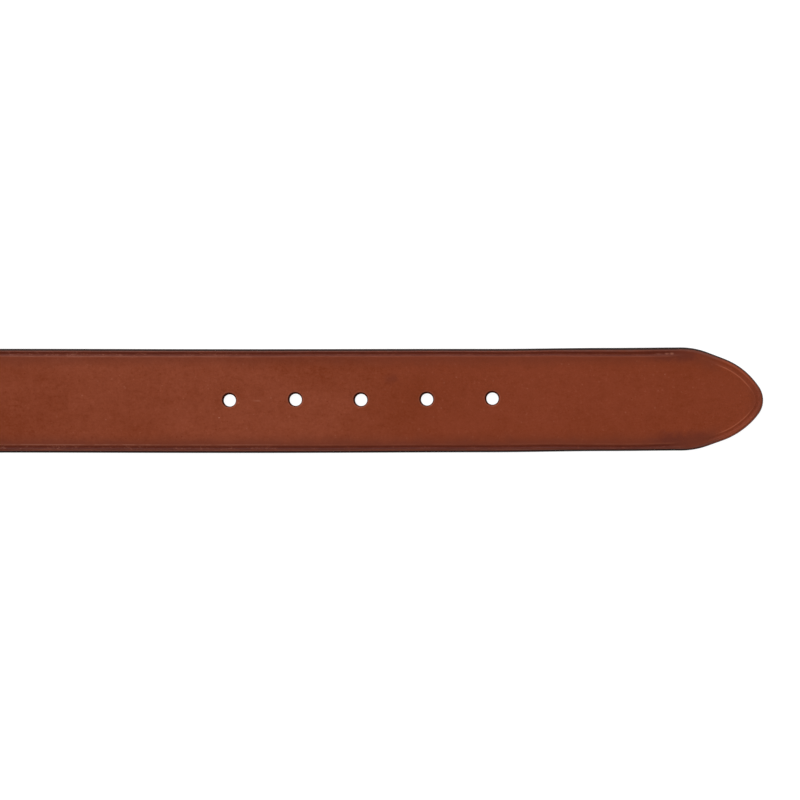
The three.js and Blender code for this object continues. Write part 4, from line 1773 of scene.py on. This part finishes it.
def build_lights(scene, stage):
    """A long softbox to the upper left, as three suns side by side, and the pale room."""
    for turn in KEY_TURNS:
        key = bpy.data.lights.new("softbox upper left", "SUN")
        key.energy = stage.key / len(KEY_TURNS)
        key.angle = math.radians(KEY_ANGLE)
        key.color = KEY_COLOUR
        lamp = bpy.data.objects.new("softbox upper left", key)
        toward = Matrix.Rotation(math.radians(turn), 3, "Z") @ KEY_DIRECTION
        lamp.rotation_euler = toward.to_track_quat("Z", "Y").to_euler()
        scene.collection.objects.link(lamp)
    scene.world = build_studio(stage.fill)
    scene.view_settings.view_transform = "Standard"
    scene.view_settings.look = "None"


def build_studio(fill):
    """A pale room: bright low down, dimmer above, and dark right overhead where the camera hangs."""
    world = bpy.data.worlds.new("studio")
    world.use_nodes = True
    nodes, links = world.node_tree.nodes, world.node_tree.links
    direction = nodes.new("ShaderNodeTexCoord")
    parts = nodes.new("ShaderNodeSeparateXYZ")
    ramp = nodes.new("ShaderNodeValToRGB")
    links.new(direction.outputs["Generated"], parts.inputs["Vector"])
    links.new(parts.outputs["Z"], ramp.inputs["Fac"])
    links.new(ramp.outputs["Color"], nodes["Background"].inputs["Color"])
    stops = ramp.color_ramp.elements
    for row in STUDIO[1:-1]:
        stops.new(row["height"])
    for stop, row in zip(stops, STUDIO):
        stop.color = (row["bright"], row["bright"], row["bright"], 1)
    nodes["Background"].inputs["Strength"].default_value = fill
    return world


def build_camera(scene):
    """Straight above the tip, framed as the photograph is."""
    data = bpy.data.cameras.new("camera")
    data.lens = LENS
    data.sensor_width = SENSOR
    data.sensor_height = SENSOR
    camera = bpy.data.objects.new("camera", data)
    frame_width = PHOTO_PIXELS * PIXEL
    middle = PHOTO_PIXELS / 2
    x = STRAP_HIGH[0] / MM - (TIP_PIXEL - middle) * PIXEL
    y = (MIDDLE_LINE_PIXEL - middle) * PIXEL + LAY_ANGLE * (x - BAR_X)
    z = STRAP_THICK + frame_width * LENS / SENSOR
    camera.location = Vector((x, y, z)) * MM
    scene.collection.objects.link(camera)
    scene.camera = camera


class BELT_PT_panel(bpy.types.Panel):
    """The belt's steps and settings in the sidebar"""

    bl_idname = "BELT_PT_panel"
    bl_label = "Leather Belt"
    bl_space_type = "VIEW_3D"
    bl_region_type = "UI"
    bl_category = "Belt"

    def draw(self, context):
        layout = self.layout
        for operator in OPERATORS:
            layout.operator(operator.bl_idname)
        for group in (context.scene.belt_sizes, context.scene.belt_colours, context.scene.belt_stage):
            box = layout.box()
            for name in group.__annotations__:
                box.prop(group, name)


OPERATORS = (BELT_OT_strap, BELT_OT_stitches, BELT_OT_buckle, BELT_OT_keeper, BELT_OT_stage)
GROUPS = {"belt_sizes": BeltSizes, "belt_colours": BeltColours, "belt_stage": BeltStage}


def register():
    for kind in (*GROUPS.values(), *OPERATORS, BELT_PT_panel):
        bpy.utils.register_class(kind)
    for name, group in GROUPS.items():
        setattr(bpy.types.Scene, name, bpy.props.PointerProperty(type=group))


def unregister():
    for name in GROUPS:
        delattr(bpy.types.Scene, name)
    for kind in (BELT_PT_panel, *reversed(OPERATORS), *GROUPS.values()):
        bpy.utils.unregister_class(kind)


def main():
    register()
    bpy.ops.belt.strap()
    bpy.ops.belt.stitches()
    bpy.ops.belt.buckle()
    bpy.ops.belt.keeper()
    bpy.ops.belt.stage()


if __name__ == "__main__":
    main()
